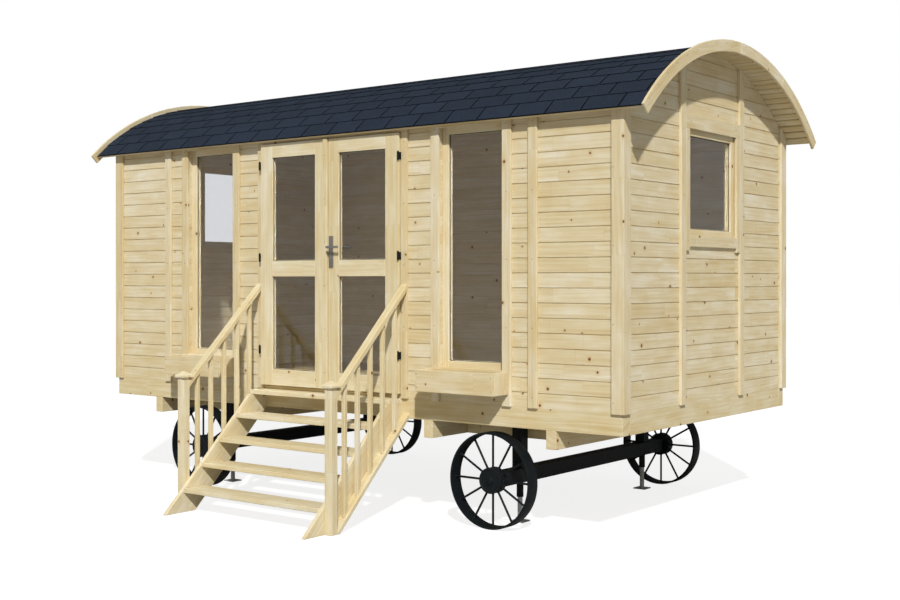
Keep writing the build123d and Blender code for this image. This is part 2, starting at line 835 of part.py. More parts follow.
with BuildPart() as stair_base_rails:
    for side in (-1, 1):
        sloping_bar(side * newel_x, newel_size, newel_back, front, base_rail_top_z, stringer_back_z)
    split(bisect_by=Plane.XY, keep=Keep.TOP)      # sawn off level where they meet the ground
stair_base_rails.part.label = "stair_base_rails"
export_step(stair_base_rails.part, "parts/stair_base_rails.step")

baluster_pitch = (front - newel_y) / (baluster_count + 1)
with BuildPart() as stair_balusters:
    for side in (-1, 1):
        for number in range(1, baluster_count + 1):
            y = newel_y + number * baluster_pitch
            ends = (y - baluster_size / 2, y + baluster_size / 2)
            sloping_bar(side * newel_x, baluster_size, *ends, rail_under_z, base_rail_top_z)
stair_balusters.part.label = "stair_balusters"
export_step(stair_balusters.part, "parts/stair_balusters.step")

# ---------------------------------------------------------------- axles, legs and jacks
axle_z = wheel_radius
axle_top = axle_z + axle_size / 2
axle_bottom = axle_z - axle_size / 2
axle_y = hut_y - axle_forward
jack_places = [(x, y) for x in (-axle_x, axle_x) for y in (axle_y - leg_y, axle_y + leg_y)]
jack_bore = jack_tube_radius + jack_clearance

with BuildPart() as axles:
    for x in (-axle_x, axle_x):
        half = axle_size / 2
        cavity = half - axle_wall
        ends = (axle_y - axle_half_length, axle_y + axle_half_length)
        block((x - half, x + half), ends, (axle_bottom, axle_top))
        block(
            (x - cavity, x + cavity),
            (ends[0] + axle_wall, ends[1] - axle_wall),
            (axle_z - cavity, axle_z + cavity),
            mode=Mode.SUBTRACT,
        )
        for y_side in (-1, 1):
            stub_y = axle_y + y_side * (axle_half_length + spindle_stub_length / 2)
            with Locations(Location((x, stub_y, axle_z), (90, 0, 0))):
                Cylinder(spindle_stub_radius, spindle_stub_length)
    for place in jack_places:
        with Locations((*place, axle_bottom + axle_wall / 2)):
            Cylinder(jack_bore, axle_wall, mode=Mode.SUBTRACT)
axles.part.label = "axles"
export_step(axles.part, "parts/axles.step")

with BuildPart() as legs:
    for x, y in jack_places:
        block(
            (x - leg_size / 2, x + leg_size / 2),
            (y - leg_size / 2, y + leg_size / 2),
            (axle_top, beam_bottom),
        )
        with Locations((x, y, (sleeve_bottom + axle_bottom) / 2)):
            Cylinder(sleeve_radius, axle_bottom - sleeve_bottom)
            Cylinder(jack_bore, axle_bottom - sleeve_bottom, mode=Mode.SUBTRACT)
legs.part.label = "legs"
export_step(legs.part, "parts/legs.step")


def jack_foot(x, y):
    """A jack's sliding tube, welded to its square foot plate."""
    block(
        (x - foot_size / 2, x + foot_size / 2),
        (y - foot_size / 2, y + foot_size / 2),
        (0, foot_thickness),
    )
    with Locations((x, y, (foot_thickness + jack_tube_top) / 2)):
        Cylinder(jack_tube_radius, jack_tube_top - foot_thickness)


# ---------------------------------------------------------------- wheels
# Each wheel is a flat bar rolled into a rim, round bars for spokes and a thick hub disc, welded together.
rim_inner = wheel_radius - rim_thickness
spoke_middle = (hub_radius + rim_inner) / 2
spoke_length = rim_inner - hub_radius + 2 * spoke_overrun
bore_depth = axle_half_length + spindle_stub_length + bore_end_gap - (hub_outer_y - hub_width)


def wheel_disc(x, y_middle, radius, width, mode=Mode.ADD):
    """A disc on a wheel's axis, which runs from front to back."""
    with Locations(Location((x, y_middle, axle_z), (90, 0, 0))):
        Cylinder(radius, width, mode=mode)


for x_name, x in (("left", -axle_x), ("right", axle_x)):
    for y_name, outward in (("front", -1), ("back", 1)):
        corner = f"{y_name}_{x_name}"
        rim_y = axle_y + outward * wheel_middle_y
        hub_y = axle_y + outward * (hub_outer_y - hub_width / 2)
        bore_y = axle_y + outward * (hub_outer_y - hub_width + bore_depth / 2)

        with BuildPart() as rim:
            wheel_disc(x, rim_y, wheel_radius, wheel_width)
            wheel_disc(x, rim_y, rim_inner, wheel_width, Mode.SUBTRACT)
        rim.part.label = f"{corner}_wheel_rim"
        export_step(rim.part, f"parts/{corner}_wheel_rim.step")

        with BuildPart() as spokes:
            for number in range(spoke_count):
                angle = 360 * number / spoke_count
                across = spoke_middle * sin(radians(angle))
                up = spoke_middle * cos(radians(angle))
                with Locations(Location((x + across, rim_y, axle_z + up), (0, angle, 0))):
                    Cylinder(spoke_radius, spoke_length)
            wheel_disc(x, rim_y, rim_inner, wheel_width, Mode.INTERSECT)
            wheel_disc(x, hub_y, hub_radius, hub_width, Mode.SUBTRACT)
        spokes.part.label = f"{corner}_wheel_spokes"
        export_step(spokes.part, f"parts/{corner}_wheel_spokes.step")

        with BuildPart() as hub:
            wheel_disc(x, hub_y, hub_radius, hub_width)
            wheel_disc(x, bore_y, spindle_stub_radius + hub_clearance, bore_depth, Mode.SUBTRACT)
        hub.part.label = f"{corner}_wheel_hub"
        export_step(hub.part, f"parts/{corner}_wheel_hub.step")

        with BuildPart() as foot:
            jack_foot(x, axle_y + outward * leg_y)
        foot.part.label = f"{corner}_jack_foot"
        export_step(foot.part, f"parts/{corner}_jack_foot.step")
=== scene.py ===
import functools
import math
import random

import bmesh
import bpy
from mathutils import Matrix, Vector


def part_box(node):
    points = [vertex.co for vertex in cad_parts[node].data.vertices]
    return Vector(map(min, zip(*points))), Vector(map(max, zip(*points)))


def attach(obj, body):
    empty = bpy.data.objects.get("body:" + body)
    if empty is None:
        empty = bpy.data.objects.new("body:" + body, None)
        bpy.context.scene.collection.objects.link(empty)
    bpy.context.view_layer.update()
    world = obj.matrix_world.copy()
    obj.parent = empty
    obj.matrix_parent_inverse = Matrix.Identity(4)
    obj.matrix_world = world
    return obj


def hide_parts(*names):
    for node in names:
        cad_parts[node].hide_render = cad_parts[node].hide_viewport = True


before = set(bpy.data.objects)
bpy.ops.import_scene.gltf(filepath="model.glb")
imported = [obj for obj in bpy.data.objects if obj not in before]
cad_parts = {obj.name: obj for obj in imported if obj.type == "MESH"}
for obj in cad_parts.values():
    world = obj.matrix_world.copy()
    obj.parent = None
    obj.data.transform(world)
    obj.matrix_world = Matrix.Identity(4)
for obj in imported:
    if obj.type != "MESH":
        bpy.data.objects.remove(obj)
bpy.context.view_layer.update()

# -------- axles, legs and jacks
# Two axles of welded box section carry square legs up to the base beams, with a tube sleeve under each leg.
# Mild steel, welded and then powder coated black. The jack tubes that slide in the sleeves are hot-dip
# galvanised, and stay bare.
corners = {"front_left": (-1, -1), "front_right": (1, -1), "back_left": (-1, 1), "back_right": (1, 1)}
grit_size = 0.0025  # orange peel of a powder coat, drawn about twice as coarse as it is
spangle_size = 0.012  # zinc crystals on galvanised tube


def linear(colour):
    """An sRGB colour such as "#E0CFA4" as linear red, green, blue and alpha."""
    parts = [int(colour[i : i + 2], 16) / 255 for i in (1, 3, 5)]
    return [p / 12.92 if p <= 0.04045 else ((p + 0.055) / 1.055) ** 2.4 for p in parts] + [1.0]


def feed(node, inputs):
    """Fill a node's inputs, each with a value, an output, or a node whose first output feeds it."""
    for name, value in inputs.items():
        if isinstance(value, bpy.types.Node):
            value = value.outputs[0]
        if isinstance(value, bpy.types.NodeSocket):
            node.id_data.links.new(value, node.inputs[name])
        else:
            node.inputs[name].default_value = value


def add_node(tree, kind, inputs=None, stops=None, **settings):
    """Add one shader node with its settings and links; stops fill a ramp, each a place and a colour."""
    node = tree.nodes.new("ShaderNode" + kind)
    for name, value in settings.items():
        setattr(node, name, value)
    feed(node, inputs or {})
    if stops:
        ramp = node.color_ramp.elements
        while len(ramp) < len(stops):
            ramp.new(0.5)
        for element, (place, colour) in zip(ramp, stops):
            element.position = place
            element.color = linear(colour)
    return node


def new_material(name):
    """A material, the call that adds a node to it, and its shader."""
    material = bpy.data.materials.new(name)
    material.use_nodes = True
    tree = material.node_tree
    return material, functools.partial(add_node, tree), tree.nodes["Principled BSDF"]


def coat_nodes(material, *nodes):
    """Give CAD nodes their finish, through their objects' material slots."""
    for shown in (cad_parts[node] for node in nodes):
        if not shown.material_slots:
            shown.data.materials.append(material)
        for place in shown.material_slots:
            place.material = material


# Powder coat on steel: an even, dull black skin with fine orange peel and faint dust in its hollows.
black_coat, add, shader = new_material("black_powder_coat")
place = add("TexCoord").outputs["Object"]
peel = add("TexNoise", {"Vector": place, "Scale": 1 / grit_size, "Detail": 2.0})
dust = add("TexNoise", {"Vector": place, "Scale": 9.0, "Detail": 4.0, "Roughness": 0.6})
feed(shader, {
    "Base Color": add("ValToRGB", {"Fac": dust}, [(0.35, "#101518"), (0.75, "#171C1F")]),
    "Roughness": add("MapRange", {"Value": dust, "To Min": 0.42, "To Max": 0.62}),
    "Normal": add("Bump", {"Height": peel, "Strength": 0.12, "Distance": 0.0006}),
    "Specular IOR Level": 0.16,
})

# Hot-dip galvanising: dull grey zinc whose crystals catch the light a little differently from each other.
galvanised, add, shader = new_material("galvanised_steel")
place = add("TexCoord").outputs["Object"]
spangle = add("TexVoronoi", {"Vector": place, "Scale": 1 / spangle_size})
runs = add("TexNoise", {"Vector": place, "Scale": 60.0, "Detail": 3.0})
feed(shader, {
    "Base Color": add("ValToRGB", {"Fac": spangle.outputs["Color"]}, [(0.1, "#B4B7B9"), (0.9, "#D0D3D4")]),
    "Roughness": add("MapRange", {"Value": runs, "To Min": 0.38, "To Max": 0.6}),
    "Normal": add("Bump", {"Height": runs, "Strength": 0.2, "Distance": 0.0008}),
    "Metallic": 0.15,
})

coat_nodes(black_coat, "axles", "legs")
coat_nodes(galvanised, *[f"{corner}_jack_foot" for corner in corners])

# -------- weld beads on the running gear
# Each leg is welded to the top of its axle, along all four sides. A weld is a row of overlapping drops of
# mild steel, coated black with the rest.
bead_radius = 0.005
bead_pitch = 0.007
bead_proud = 0.001  # how far a bead's middle stands off the corner that it fills
leg_half = 0.038


def activate(piece):
    """Make one object the only selected one."""
    bpy.ops.object.select_all(action="DESELECT")
    piece.select_set(True)
    bpy.context.view_layer.objects.active = piece


def set_place(piece):
    """Put the object's place, turn and size into its mesh."""
    activate(piece)
    bpy.ops.object.transform_apply(location=True, rotation=True, scale=True)


def started(primitive, **settings):
    """A piece begun from a primitive at its size and place, with nothing else selected."""
    bpy.ops.object.select_all(action="DESELECT")
    primitive(**settings)
    piece = bpy.context.object
    set_place(piece)
    return piece


def copied(piece, matrix=None):
    """A copy with its own mesh, moved by a matrix."""
    twin = bpy.data.objects.new(piece.name, piece.data.copy())
    bpy.context.scene.collection.objects.link(twin)
    if matrix is not None:
        twin.data.transform(matrix)
    return twin


def joined(name, parts):
    """One object from several."""
    bpy.ops.object.select_all(action="DESELECT")
    for part in parts:
        part.select_set(True)
    bpy.context.view_layer.objects.active = parts[0]
    if len(parts) > 1:
        bpy.ops.object.join()
    parts[0].name = name
    parts[0].data.name = name
    return parts[0]


def give(piece, material, body, slot, *nodes):
    """The piece's finish, the body it rides on and the CAD nodes that it stands for, which it hides. Slot is
    not used.
    """
    piece.data.materials.clear()
    piece.data.materials.append(material)
    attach(piece, body)
    if nodes:
        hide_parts(*nodes)


drop = started(bpy.ops.mesh.primitive_ico_sphere_add, subdivisions=1, radius=bead_radius)
bpy.ops.object.mode_set(mode="EDIT")
bpy.ops.transform.resize(value=(1.0, 0.75, 0.75))
bpy.ops.object.mode_set(mode="OBJECT")
drops = []
axle_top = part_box("axles")[1].z
for side_x, side_y in corners.values():
    foot_low, foot_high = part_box("front_right_jack_foot" if side_y < 0 else "back_right_jack_foot")
    centre = (foot_low + foot_high) / 2
    foot = Matrix.Translation((side_x * centre.x, centre.y, axle_top))
    for turn in range(4):
        round_leg = foot @ Matrix.Rotation(math.radians(90 * turn), 4, "Z")
        for k in range(round(2 * leg_half / bead_pitch) + 1):
            step = Matrix.Translation((k * bead_pitch - leg_half, -leg_half - bead_proud, bead_proud))
            drops.append(copied(drop, round_leg @ step))
bpy.data.objects.remove(drop)
give(joined("leg_weld_beads", drops), black_coat, "hut", "chassis_steel")

# -------- wheels
# A flat bar rolled into a rim, twelve round spokes with a welded collar at each end, and a turned hub with
# a pressed cap over the stub axle. Steel, powder coated black as one piece.
rim_low, rim_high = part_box("front_right_wheel_rim")
hub_low, hub_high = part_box("front_right_wheel_hub")
wheel_centre = (rim_low + rim_high) / 2
rim_radius = (rim_high.z - rim_low.z) / 2
rim_width = rim_high.y - rim_low.y
rim_bar = 0.014
hub_radius = (hub_high.z - hub_low.z) / 2
hub_width = hub_high.y - hub_low.y
hub_face = hub_low.y
stub_radius = 0.02505
bore_depth = 0.06
hub_rim = 0.012
hub_step = 0.003
hub_cap_radius = 0.027
hub_cap_rise = 0.009
steel_edge = 0.002
spoke_count = 12
collar_radius = 0.0105
collar_mouth = 0.0068
collar_height = 0.009
collar_sunk = 0.0005  # how far a collar is let into the rim or hub


def modify(piece, kind, **settings):
    """Add one modifier and apply it."""
    activate(piece)
    bpy.ops.object.modifier_add(type=kind)
    modifier = piece.modifiers[-1]
    for name, value in settings.items():
        setattr(modifier, name, value)
    bpy.ops.object.modifier_apply(modifier=modifier.name)


def edit(piece, mode, test):
    """Enter edit mode with only those vertices, edges or faces selected that pass the test."""
    activate(piece)
    bpy.ops.object.mode_set(mode="EDIT")
    bpy.ops.mesh.select_mode(type=mode)
    bpy.ops.mesh.select_all(action="DESELECT")
    mesh = bmesh.from_edit_mesh(piece.data)
    for item in {"VERT": mesh.verts, "EDGE": mesh.edges, "FACE": mesh.faces}[mode]:
        if test(item):
            item.select_set(True)
    mesh.select_flush_mode()
    bmesh.update_edit_mesh(piece.data)


def leave_edit():
    """Back to object mode."""
    bpy.ops.object.mode_set(mode="OBJECT")


def ease(piece, width, segments=1, degrees=40):
    """Bevel the edges that turn by more than this; with more segments they are rounded."""
    modify(
        piece, "BEVEL", width=width, segments=segments, limit_method="ANGLE",
        angle_limit=math.radians(degrees),
    )


def smooth(piece, degrees=40):
    """Shade smooth across edges flatter than this."""
    activate(piece)
    bpy.ops.object.shade_smooth_by_angle(angle=math.radians(degrees))


rim = started(
    bpy.ops.mesh.primitive_cylinder_add, vertices=96, radius=rim_radius, depth=rim_width,
    end_fill_type="NOTHING", location=wheel_centre, rotation=(math.radians(90), 0, 0),
)
modify(rim, "SOLIDIFY", thickness=rim_bar, offset=-1.0)
ease(rim, steel_edge, 2, 50)
smooth(rim)

hub = started(
    bpy.ops.mesh.primitive_cylinder_add, vertices=64, radius=hub_radius, depth=hub_width,
    location=(wheel_centre.x, hub_face + hub_width / 2, wheel_centre.z), rotation=(math.radians(90), 0, 0),
)
edit(hub, "FACE", lambda f: f.normal.y > 0.9)
bpy.ops.mesh.inset(thickness=hub_radius - stub_radius)
bpy.ops.mesh.extrude_region_move(TRANSFORM_OT_translate={"value": (0, -bore_depth, 0)})
leave_edit()
edit(hub, "FACE", lambda f: f.normal.y < -0.9)
bpy.ops.mesh.inset(thickness=hub_rim, depth=0.0)
bpy.ops.mesh.inset(thickness=hub_step, depth=-hub_step)
bpy.ops.mesh.inset(thickness=hub_radius - hub_rim - hub_step - hub_cap_radius, depth=0.0)
bpy.ops.mesh.extrude_region_move(TRANSFORM_OT_translate={"value": (0, -hub_cap_rise, 0)})
bpy.ops.mesh.inset(thickness=0.008, depth=0.003)
leave_edit()
ease(hub, steel_edge, 2)
smooth(hub)

collar = started(
    bpy.ops.mesh.primitive_cone_add,
    vertices=12, radius1=collar_radius, radius2=collar_mouth, depth=collar_height,
)
ease(collar, 0.001, 1, 50)
smooth(collar, 50)
collars = []
for k in range(spoke_count):
    turned = Matrix.Translation(wheel_centre) @ Matrix.Rotation(math.tau * k / spoke_count, 4, "Y")
    at_hub = Matrix.Translation((0, 0, hub_radius + collar_height / 2 - collar_sunk))
    at_rim = Matrix.Translation((0, 0, rim_radius - rim_bar - collar_height / 2 + collar_sunk))
    collars.append(copied(collar, turned @ at_hub))
    collars.append(copied(collar, turned @ at_rim @ Matrix.Rotation(math.pi, 4, "X")))
bpy.data.objects.remove(collar)
collars = joined("spoke_collars", collars)

for corner, (side_x, side_y) in corners.items():
    low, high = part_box(f"{corner}_wheel_rim")
    facing = Matrix.Rotation(math.pi if side_y > 0 else 0, 4, "Z")
    there = Matrix.Translation((low + high) / 2) @ facing @ Matrix.Translation(-wheel_centre)
    body = f"{corner}_wheel"
    for model, name, nodes in (
        (rim, "rolled_rim", (f"{corner}_wheel_rim",)),
        (hub, "turned_hub", (f"{corner}_wheel_hub",)),
        (collars, "spoke_collars", ()),
    ):
        piece = copied(model, there)
        piece.name = f"{corner}_{name}"
        give(piece, black_coat, body, "wheel_steel", *nodes)
    coat_nodes(black_coat, f"{corner}_wheel_spokes")
for model in (rim, hub, collars):
    bpy.data.objects.remove(model)

# -------- base beams and bearers
# A ring of squared beams with four bearers under it. Spruce, sawn, planed on four sides and dried, with its
# arrises taken off; the darker hearts and most of the knots are in these big sections.
arris = 0.0022  # width of an eased edge
merge_gap = 0.00002  # corners of the loose triangles this near each other are one
ring_spacing = 0.0065  # growth rings; fine lines, so they only blend into a streak from far off
streak_width = 0.016
knot_spacing = 0.13  # one place for a knot in every square of this side
lamella = 0.47  # length of a finger-jointed length in a board


def merged(name, node):
    """A copy of a CAD node's mesh with its loose triangles merged into flat faces."""
    piece = bpy.data.objects.new(name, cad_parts[node].data.copy())
    bpy.context.scene.collection.objects.link(piece)
    edit(piece, "VERT", lambda v: True)
    bpy.ops.mesh.remove_doubles(threshold=merge_gap)
    bpy.ops.mesh.dissolve_limited(angle_limit=math.radians(0.2))
    leave_edit()
    for face in piece.data.polygons:
        face.use_smooth = False
    return piece


def islands(mesh):
    """The loose parts of a mesh, each as a list of its faces."""
    seen, found = set(), []
    for first in mesh.faces:
        if first.index in seen:
            continue
        seen.add(first.index)
        part, queue = [], [first]
        while queue:
            face = queue.pop()
            part.append(face)
            for edge in face.edges:
                for other in edge.link_faces:
                    if other.index not in seen:
                        seen.add(other.index)
                        queue.append(other)
        found.append(part)
    return found


def extent(part):
    """The lowest and highest corner of some faces."""
    points = [v.co for face in part for v in face.verts]
    low = Vector([min(p[i] for p in points) for i in range(3)])
    high = Vector([max(p[i] for p in points) for i in range(3)])
    return low, high


def lay_grain(piece, lines=None, along=None):
    """Store each corner's place in its own board, and each board's number, for the spruce to read.

    The place is in metres along the grain, across it and through the board, moved by a random step for
    each board, so that no two share a pattern. Lines say how a panel is cut into boards: the axis across
    them, the first line and the cover width. Along gives the grain's direction at a loose part's centre.
    """
    mesh = bmesh.new()
    mesh.from_mesh(piece.data)
    places = mesh.loops.layers.float_vector.new("grain")
    numbers = mesh.loops.layers.float.new("board")
    draw = random.Random(piece.name)
    for part in islands(mesh):
        low, high = extent(part)
        if lines:
            grain = Vector((1, 0, 0)) if high.x - low.x > high.y - low.y else Vector((0, 1, 0))
            across = Vector([float(i == lines[0]) for i in range(3)])
        else:
            longest = max((e for face in part for e in face.edges), key=lambda e: e.calc_length())
            grain = along((low + high) / 2) if along else longest.verts[1].co - longest.verts[0].co
            grain = grain.normalized()
            broad = max(part, key=lambda face: face.calc_area()).normal
            across = broad.cross(grain).normalized()
        through = grain.cross(across)
        steps = {}
        for face in part:
            row = math.floor((face.calc_center_median()[lines[0]] - lines[1]) / lines[2]) if lines else 0
            if row not in steps:
                steps[row] = (Vector((draw.uniform(0, 40), draw.uniform(0, 40), 0)), draw.random())
            step, number = steps[row]
            for corner in face.loops:
                p = corner.vert.co
                corner[places] = Vector((p @ grain, p @ across, p @ through)) + step
                corner[numbers] = number
    mesh.to_mesh(piece.data)
    mesh.free()


def planed_spruce(name, pale, warm, ring, knot_share, jointed=0.2, roughness=0.62):
    """Planed spruce: creamy, with soft streaks of growth rings and brown knots that the rings bend round.

    Knot share is how many of the places for a knot hold one, and jointed is how much of a board's tone
    changes at its finger joints. It is dull, with a little sheen along the hard late wood.
    """
    material, add, shader = new_material(name)
    spot = add("Attribute", attribute_name="grain").outputs["Vector"]
    number = add("Attribute", attribute_name="board").outputs["Fac"]
    parts = add("SeparateXYZ", {"Vector": spot})
    length = add("Math", {0: parts.outputs["X"], 1: lamella}, operation="DIVIDE")
    length = add("Math", {0: length}, operation="FLOOR")
    length = add("CombineXYZ", {"X": length, "Y": number})
    length = add("TexWhiteNoise", {"Vector": length}, noise_dimensions="3D")

    # Knots, the same on a board's face and edge: whether a place holds one, its size and how near it is.
    round_edge = add("Math", {0: parts.outputs["Y"], 1: parts.outputs["Z"]}, operation="ADD")
    cells = add("CombineXYZ", {"X": parts.outputs["X"], "Y": round_edge})
    cells = add("TexVoronoi", {"Vector": cells, "Scale": 1 / knot_spacing}, voronoi_dimensions="2D")
    chance = add("SeparateColor", {"Color": cells.outputs["Color"]})
    kept = add("Math", {0: chance.outputs["Red"], 1: 1 - knot_share}, operation="GREATER_THAN")
    size = add("MapRange", {"Value": chance.outputs["Green"], "To Min": 0.04, "To Max": 0.1})
    reach = add("Math", {0: cells.outputs["Distance"], 1: size}, operation="DIVIDE")
    heart = add("MapRange", {"Value": reach, "From Min": 1.15, "From Max": 0.7})
    heart = add("Math", {0: heart, 1: kept}, operation="MULTIPLY")
    halo = add("MapRange", {"Value": reach, "From Min": 3.0, "From Max": 0.9, "To Max": 0.4})
    halo = add("Math", {0: halo, 1: kept}, operation="MULTIPLY")

    # Growth rings, bent round the knots, and the streaks and pores that run with them.
    sway = add("Mapping", {"Vector": spot, "Scale": (0.9, 5.0, 5.0)})
    sway = add("TexNoise", {"Vector": sway, "Scale": 1.0, "Detail": 2.0})
    bend = add("MapRange", {"Value": reach, "From Max": 4.0, "To Min": 0.014, "To Max": 0.0})
    bend = add("Math", {0: bend, 1: kept}, operation="MULTIPLY")
    drift = add("Math", {0: sway, 1: 0.07, 2: bend}, operation="MULTIPLY_ADD")
    rise = add("Math", {0: parts.outputs["Z"], 1: 0.55, 2: parts.outputs["Y"]}, operation="MULTIPLY_ADD")
    rise = add("Math", {0: rise, 1: drift}, operation="ADD")
    rings = add("CombineXYZ", {"Y": rise})
    rings = add(
        "TexWave", {"Vector": rings, "Scale": math.pi / 10 / ring_spacing},
        bands_direction="Y", wave_profile="SAW",
    )
    lean = add("CombineXYZ", {"X": parts.outputs["X"], "Y": rise, "Z": length})
    lean = add("Mapping", {"Vector": lean, "Scale": (1.3, 1 / streak_width, 3.0)})
    streaks = add("TexNoise", {"Vector": lean, "Scale": 1.0, "Detail": 6.0, "Roughness": 0.62})
    pores = add("Mapping", {"Vector": spot, "Scale": (22.0, 900.0, 900.0)})
    pores = add("TexNoise", {"Vector": pores, "Scale": 1.0, "Detail": 2.0})

    # Colour, from the streaks to the late wood, each board's tone, the glue lines and the knots.
    wood = add("ValToRGB", {"Fac": streaks}, [(0.32, pale), (0.52, warm), (0.80, ring)])
    late = add("MapRange", {"Value": rings.outputs["Fac"], "From Min": 0.35, "To Max": 0.16})
    wood = add("MixRGB", {"Fac": late, "Color1": wood, "Color2": linear(ring)})
    tone = add("MixRGB", {"Fac": jointed, "Color1": number, "Color2": length})
    tone = add(
        "ValToRGB", {"Fac": tone},
        [(0.1, "#FFFFFF"), (0.4, "#FCFAF5"), (0.65, "#F9F5EA"), (0.95, "#F5EFE0")],
    )
    patches = add("Mapping", {"Vector": spot, "Scale": (4.0, 10.0, 10.0)})
    patches = add("TexNoise", {"Vector": patches, "Scale": 1.0, "Detail": 2.0})
    patches = add("ValToRGB", {"Fac": patches}, [(0.36, "#FFFFFF"), (0.5, "#FAF6EB"), (0.66, "#F6EEDC")])
    for tint in (tone, patches):
        wood = add("MixRGB", {"Fac": 0.9, "Color1": wood, "Color2": tint}, blend_type="MULTIPLY")
    glued = add("Math", {0: parts.outputs["X"], 1: lamella}, operation="FLOORED_MODULO")
    glued = add("MapRange", {"Value": glued, "From Max": 0.005, "To Min": jointed, "To Max": 0.0})
    wood = add("MixRGB", {"Fac": glued, "Color1": wood, "Color2": linear("#A5854F")})
    wood = add("MixRGB", {"Fac": halo, "Color1": wood, "Color2": linear("#CDAE7C")})
    heartwood = add("ValToRGB", {"Fac": reach}, [(0.2, "#5B4029"), (0.55, "#7D5834"), (1.0, "#A98250")])
    wood = add("MixRGB", {"Fac": heart, "Color1": wood, "Color2": heartwood})
    sheen = add(
        "MapRange", {"Value": rings.outputs["Fac"], "To Min": roughness + 0.06, "To Max": roughness - 0.06}
    )
    height = add("Math", {0: pores, 1: 0.4, 2: rings.outputs["Fac"]}, operation="MULTIPLY_ADD")
    relief = add("Bump", {"Height": height, "Strength": 0.25, "Distance": 0.00035})
    feed(shader, {"Base Color": wood, "Roughness": sheen, "Normal": relief, "Specular IOR Level": 0.3})
    return material


def give_timber(piece, width, spruce, body, slot, *nodes, lines=None, along=None):
    """Ease a piece's arrises, lay its grain, and give it its spruce, body and CAD nodes."""
    if width:
        ease(piece, width)
    lay_grain(piece, lines, along)
    give(piece, spruce, body, slot, *nodes)


beam_spruce = planed_spruce("planed_spruce_beams", "#E5DEC5", "#DED2B1", "#CBB889", 0.16)
for name, node in (
    ("long_base_beams", "base_beams_long"),
    ("end_base_beams", "base_beams_end"),
    ("cross_bearers", "bearers"),
):
    give_timber(merged(name, node), arris, beam_spruce, "hut", "beam_spruce", node)


def board(low, high):
    """A square-edged board between two corners."""
    low, high = Vector(low), Vector(high)
    middle = (low + high) / 2
    return started(bpy.ops.mesh.primitive_cube_add, size=1.0, location=middle, scale=high - low)


def board_boxes(*nodes):
    """The lowest and highest corner of every loose part of some CAD nodes."""
    found = []
    for node in nodes:
        whole = bmesh.new()
        whole.from_mesh(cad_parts[node].data)
        bmesh.ops.remove_doubles(whole, verts=whole.verts, dist=merge_gap)
        whole.faces.index_update()
        found += [extent(part) for part in islands(whole)]
        whole.free()
    return found


# -------- bolsters
# A short plank on edge between each outer pair of bearers, behind the leg, to which the leg's top is bolted.
# Spruce like the bearers, and flush with their lower edges.
bolster_thickness = 0.06
bearer_boxes = sorted(board_boxes("bearers"), key=lambda part: part[0].x)
bolsters = []
for left, right in (bearer_boxes[:2], bearer_boxes[2:]):
    for corner, inward in (("front_right", 1), ("back_right", -1)):
        foot_low, foot_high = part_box(f"{corner}_jack_foot")
        leg_back = (foot_low.y + foot_high.y) / 2 + inward * leg_half
        first, last = sorted((leg_back, leg_back + inward * bolster_thickness))
        bolsters.append(board((left[1].x, first, left[0].z), (right[0].x, last, left[1].z)))
give_timber(joined("leg_bolsters", bolsters), arris, beam_spruce, "hut", "beam_spruce")

# -------- floor
# Tongued and grooved floor boards along the hut, nailed to the base frame, with a fine open joint.
floor_cover = 0.121
floor_slot = 0.0012
floor_slot_depth = 0.003
near = 0.0002  # a corner this near a face or an edge is on it


def shift(piece, test, move):
    """Move the corners that pass the test."""
    edit(piece, "VERT", test)
    bpy.ops.transform.translate(value=move)
    leave_edit()


def cut_joints(piece, axis, first, cover, slot, depth, surfaces):
    """Cut the joints between boards: a groove with sloping sides at every line that crosses the piece.

    The axis runs across the boards, and surfaces are the flat faces that are grooved, each as an axis, a
    place on it and the direction into the wood. Slot is the groove's half width at the face, and flat at
    its bottom.
    """
    low = min(v.co[axis] for v in piece.data.vertices)
    high = max(v.co[axis] for v in piece.data.vertices)
    lines = [first + k * cover for k in range(math.ceil((high - first) / cover))]
    lines = [line for line in lines if line > low + 2 * slot]
    normal = [float(i == axis) for i in range(3)]
    flat = slot * 0.4
    edit(piece, "VERT", lambda v: True)
    for line in lines:
        for offset in (-slot, -flat, flat, slot):
            bpy.ops.mesh.select_all(action="SELECT")
            bpy.ops.mesh.bisect(plane_co=[n * (line + offset) for n in normal], plane_no=normal)
    leave_edit()
    for across, place, inward in surfaces:
        shift(
            piece,
            lambda v: abs(v.co[across] - place) < near
            and any(abs(v.co[axis] - line) < (slot + flat) / 2 for line in lines),
            [inward * depth * (i == across) for i in range(3)],
        )


floor_spruce = planed_spruce("planed_spruce_floor", "#CFC19E", "#C3B085", "#A9905E", 0.1, roughness=0.5)
floor_low, floor_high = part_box("floor")
floor_boards = merged("floor_boards", "floor")
first_joint = floor_low.y + floor_cover / 2
floor_top = [(2, floor_high.z, -1)]
cut_joints(floor_boards, 1, first_joint, floor_cover, floor_slot, floor_slot_depth, floor_top)
floor_lines = (1, first_joint, floor_cover)
give_timber(floor_boards, 0, floor_spruce, "hut", "floor_spruce", "floor", lines=floor_lines)

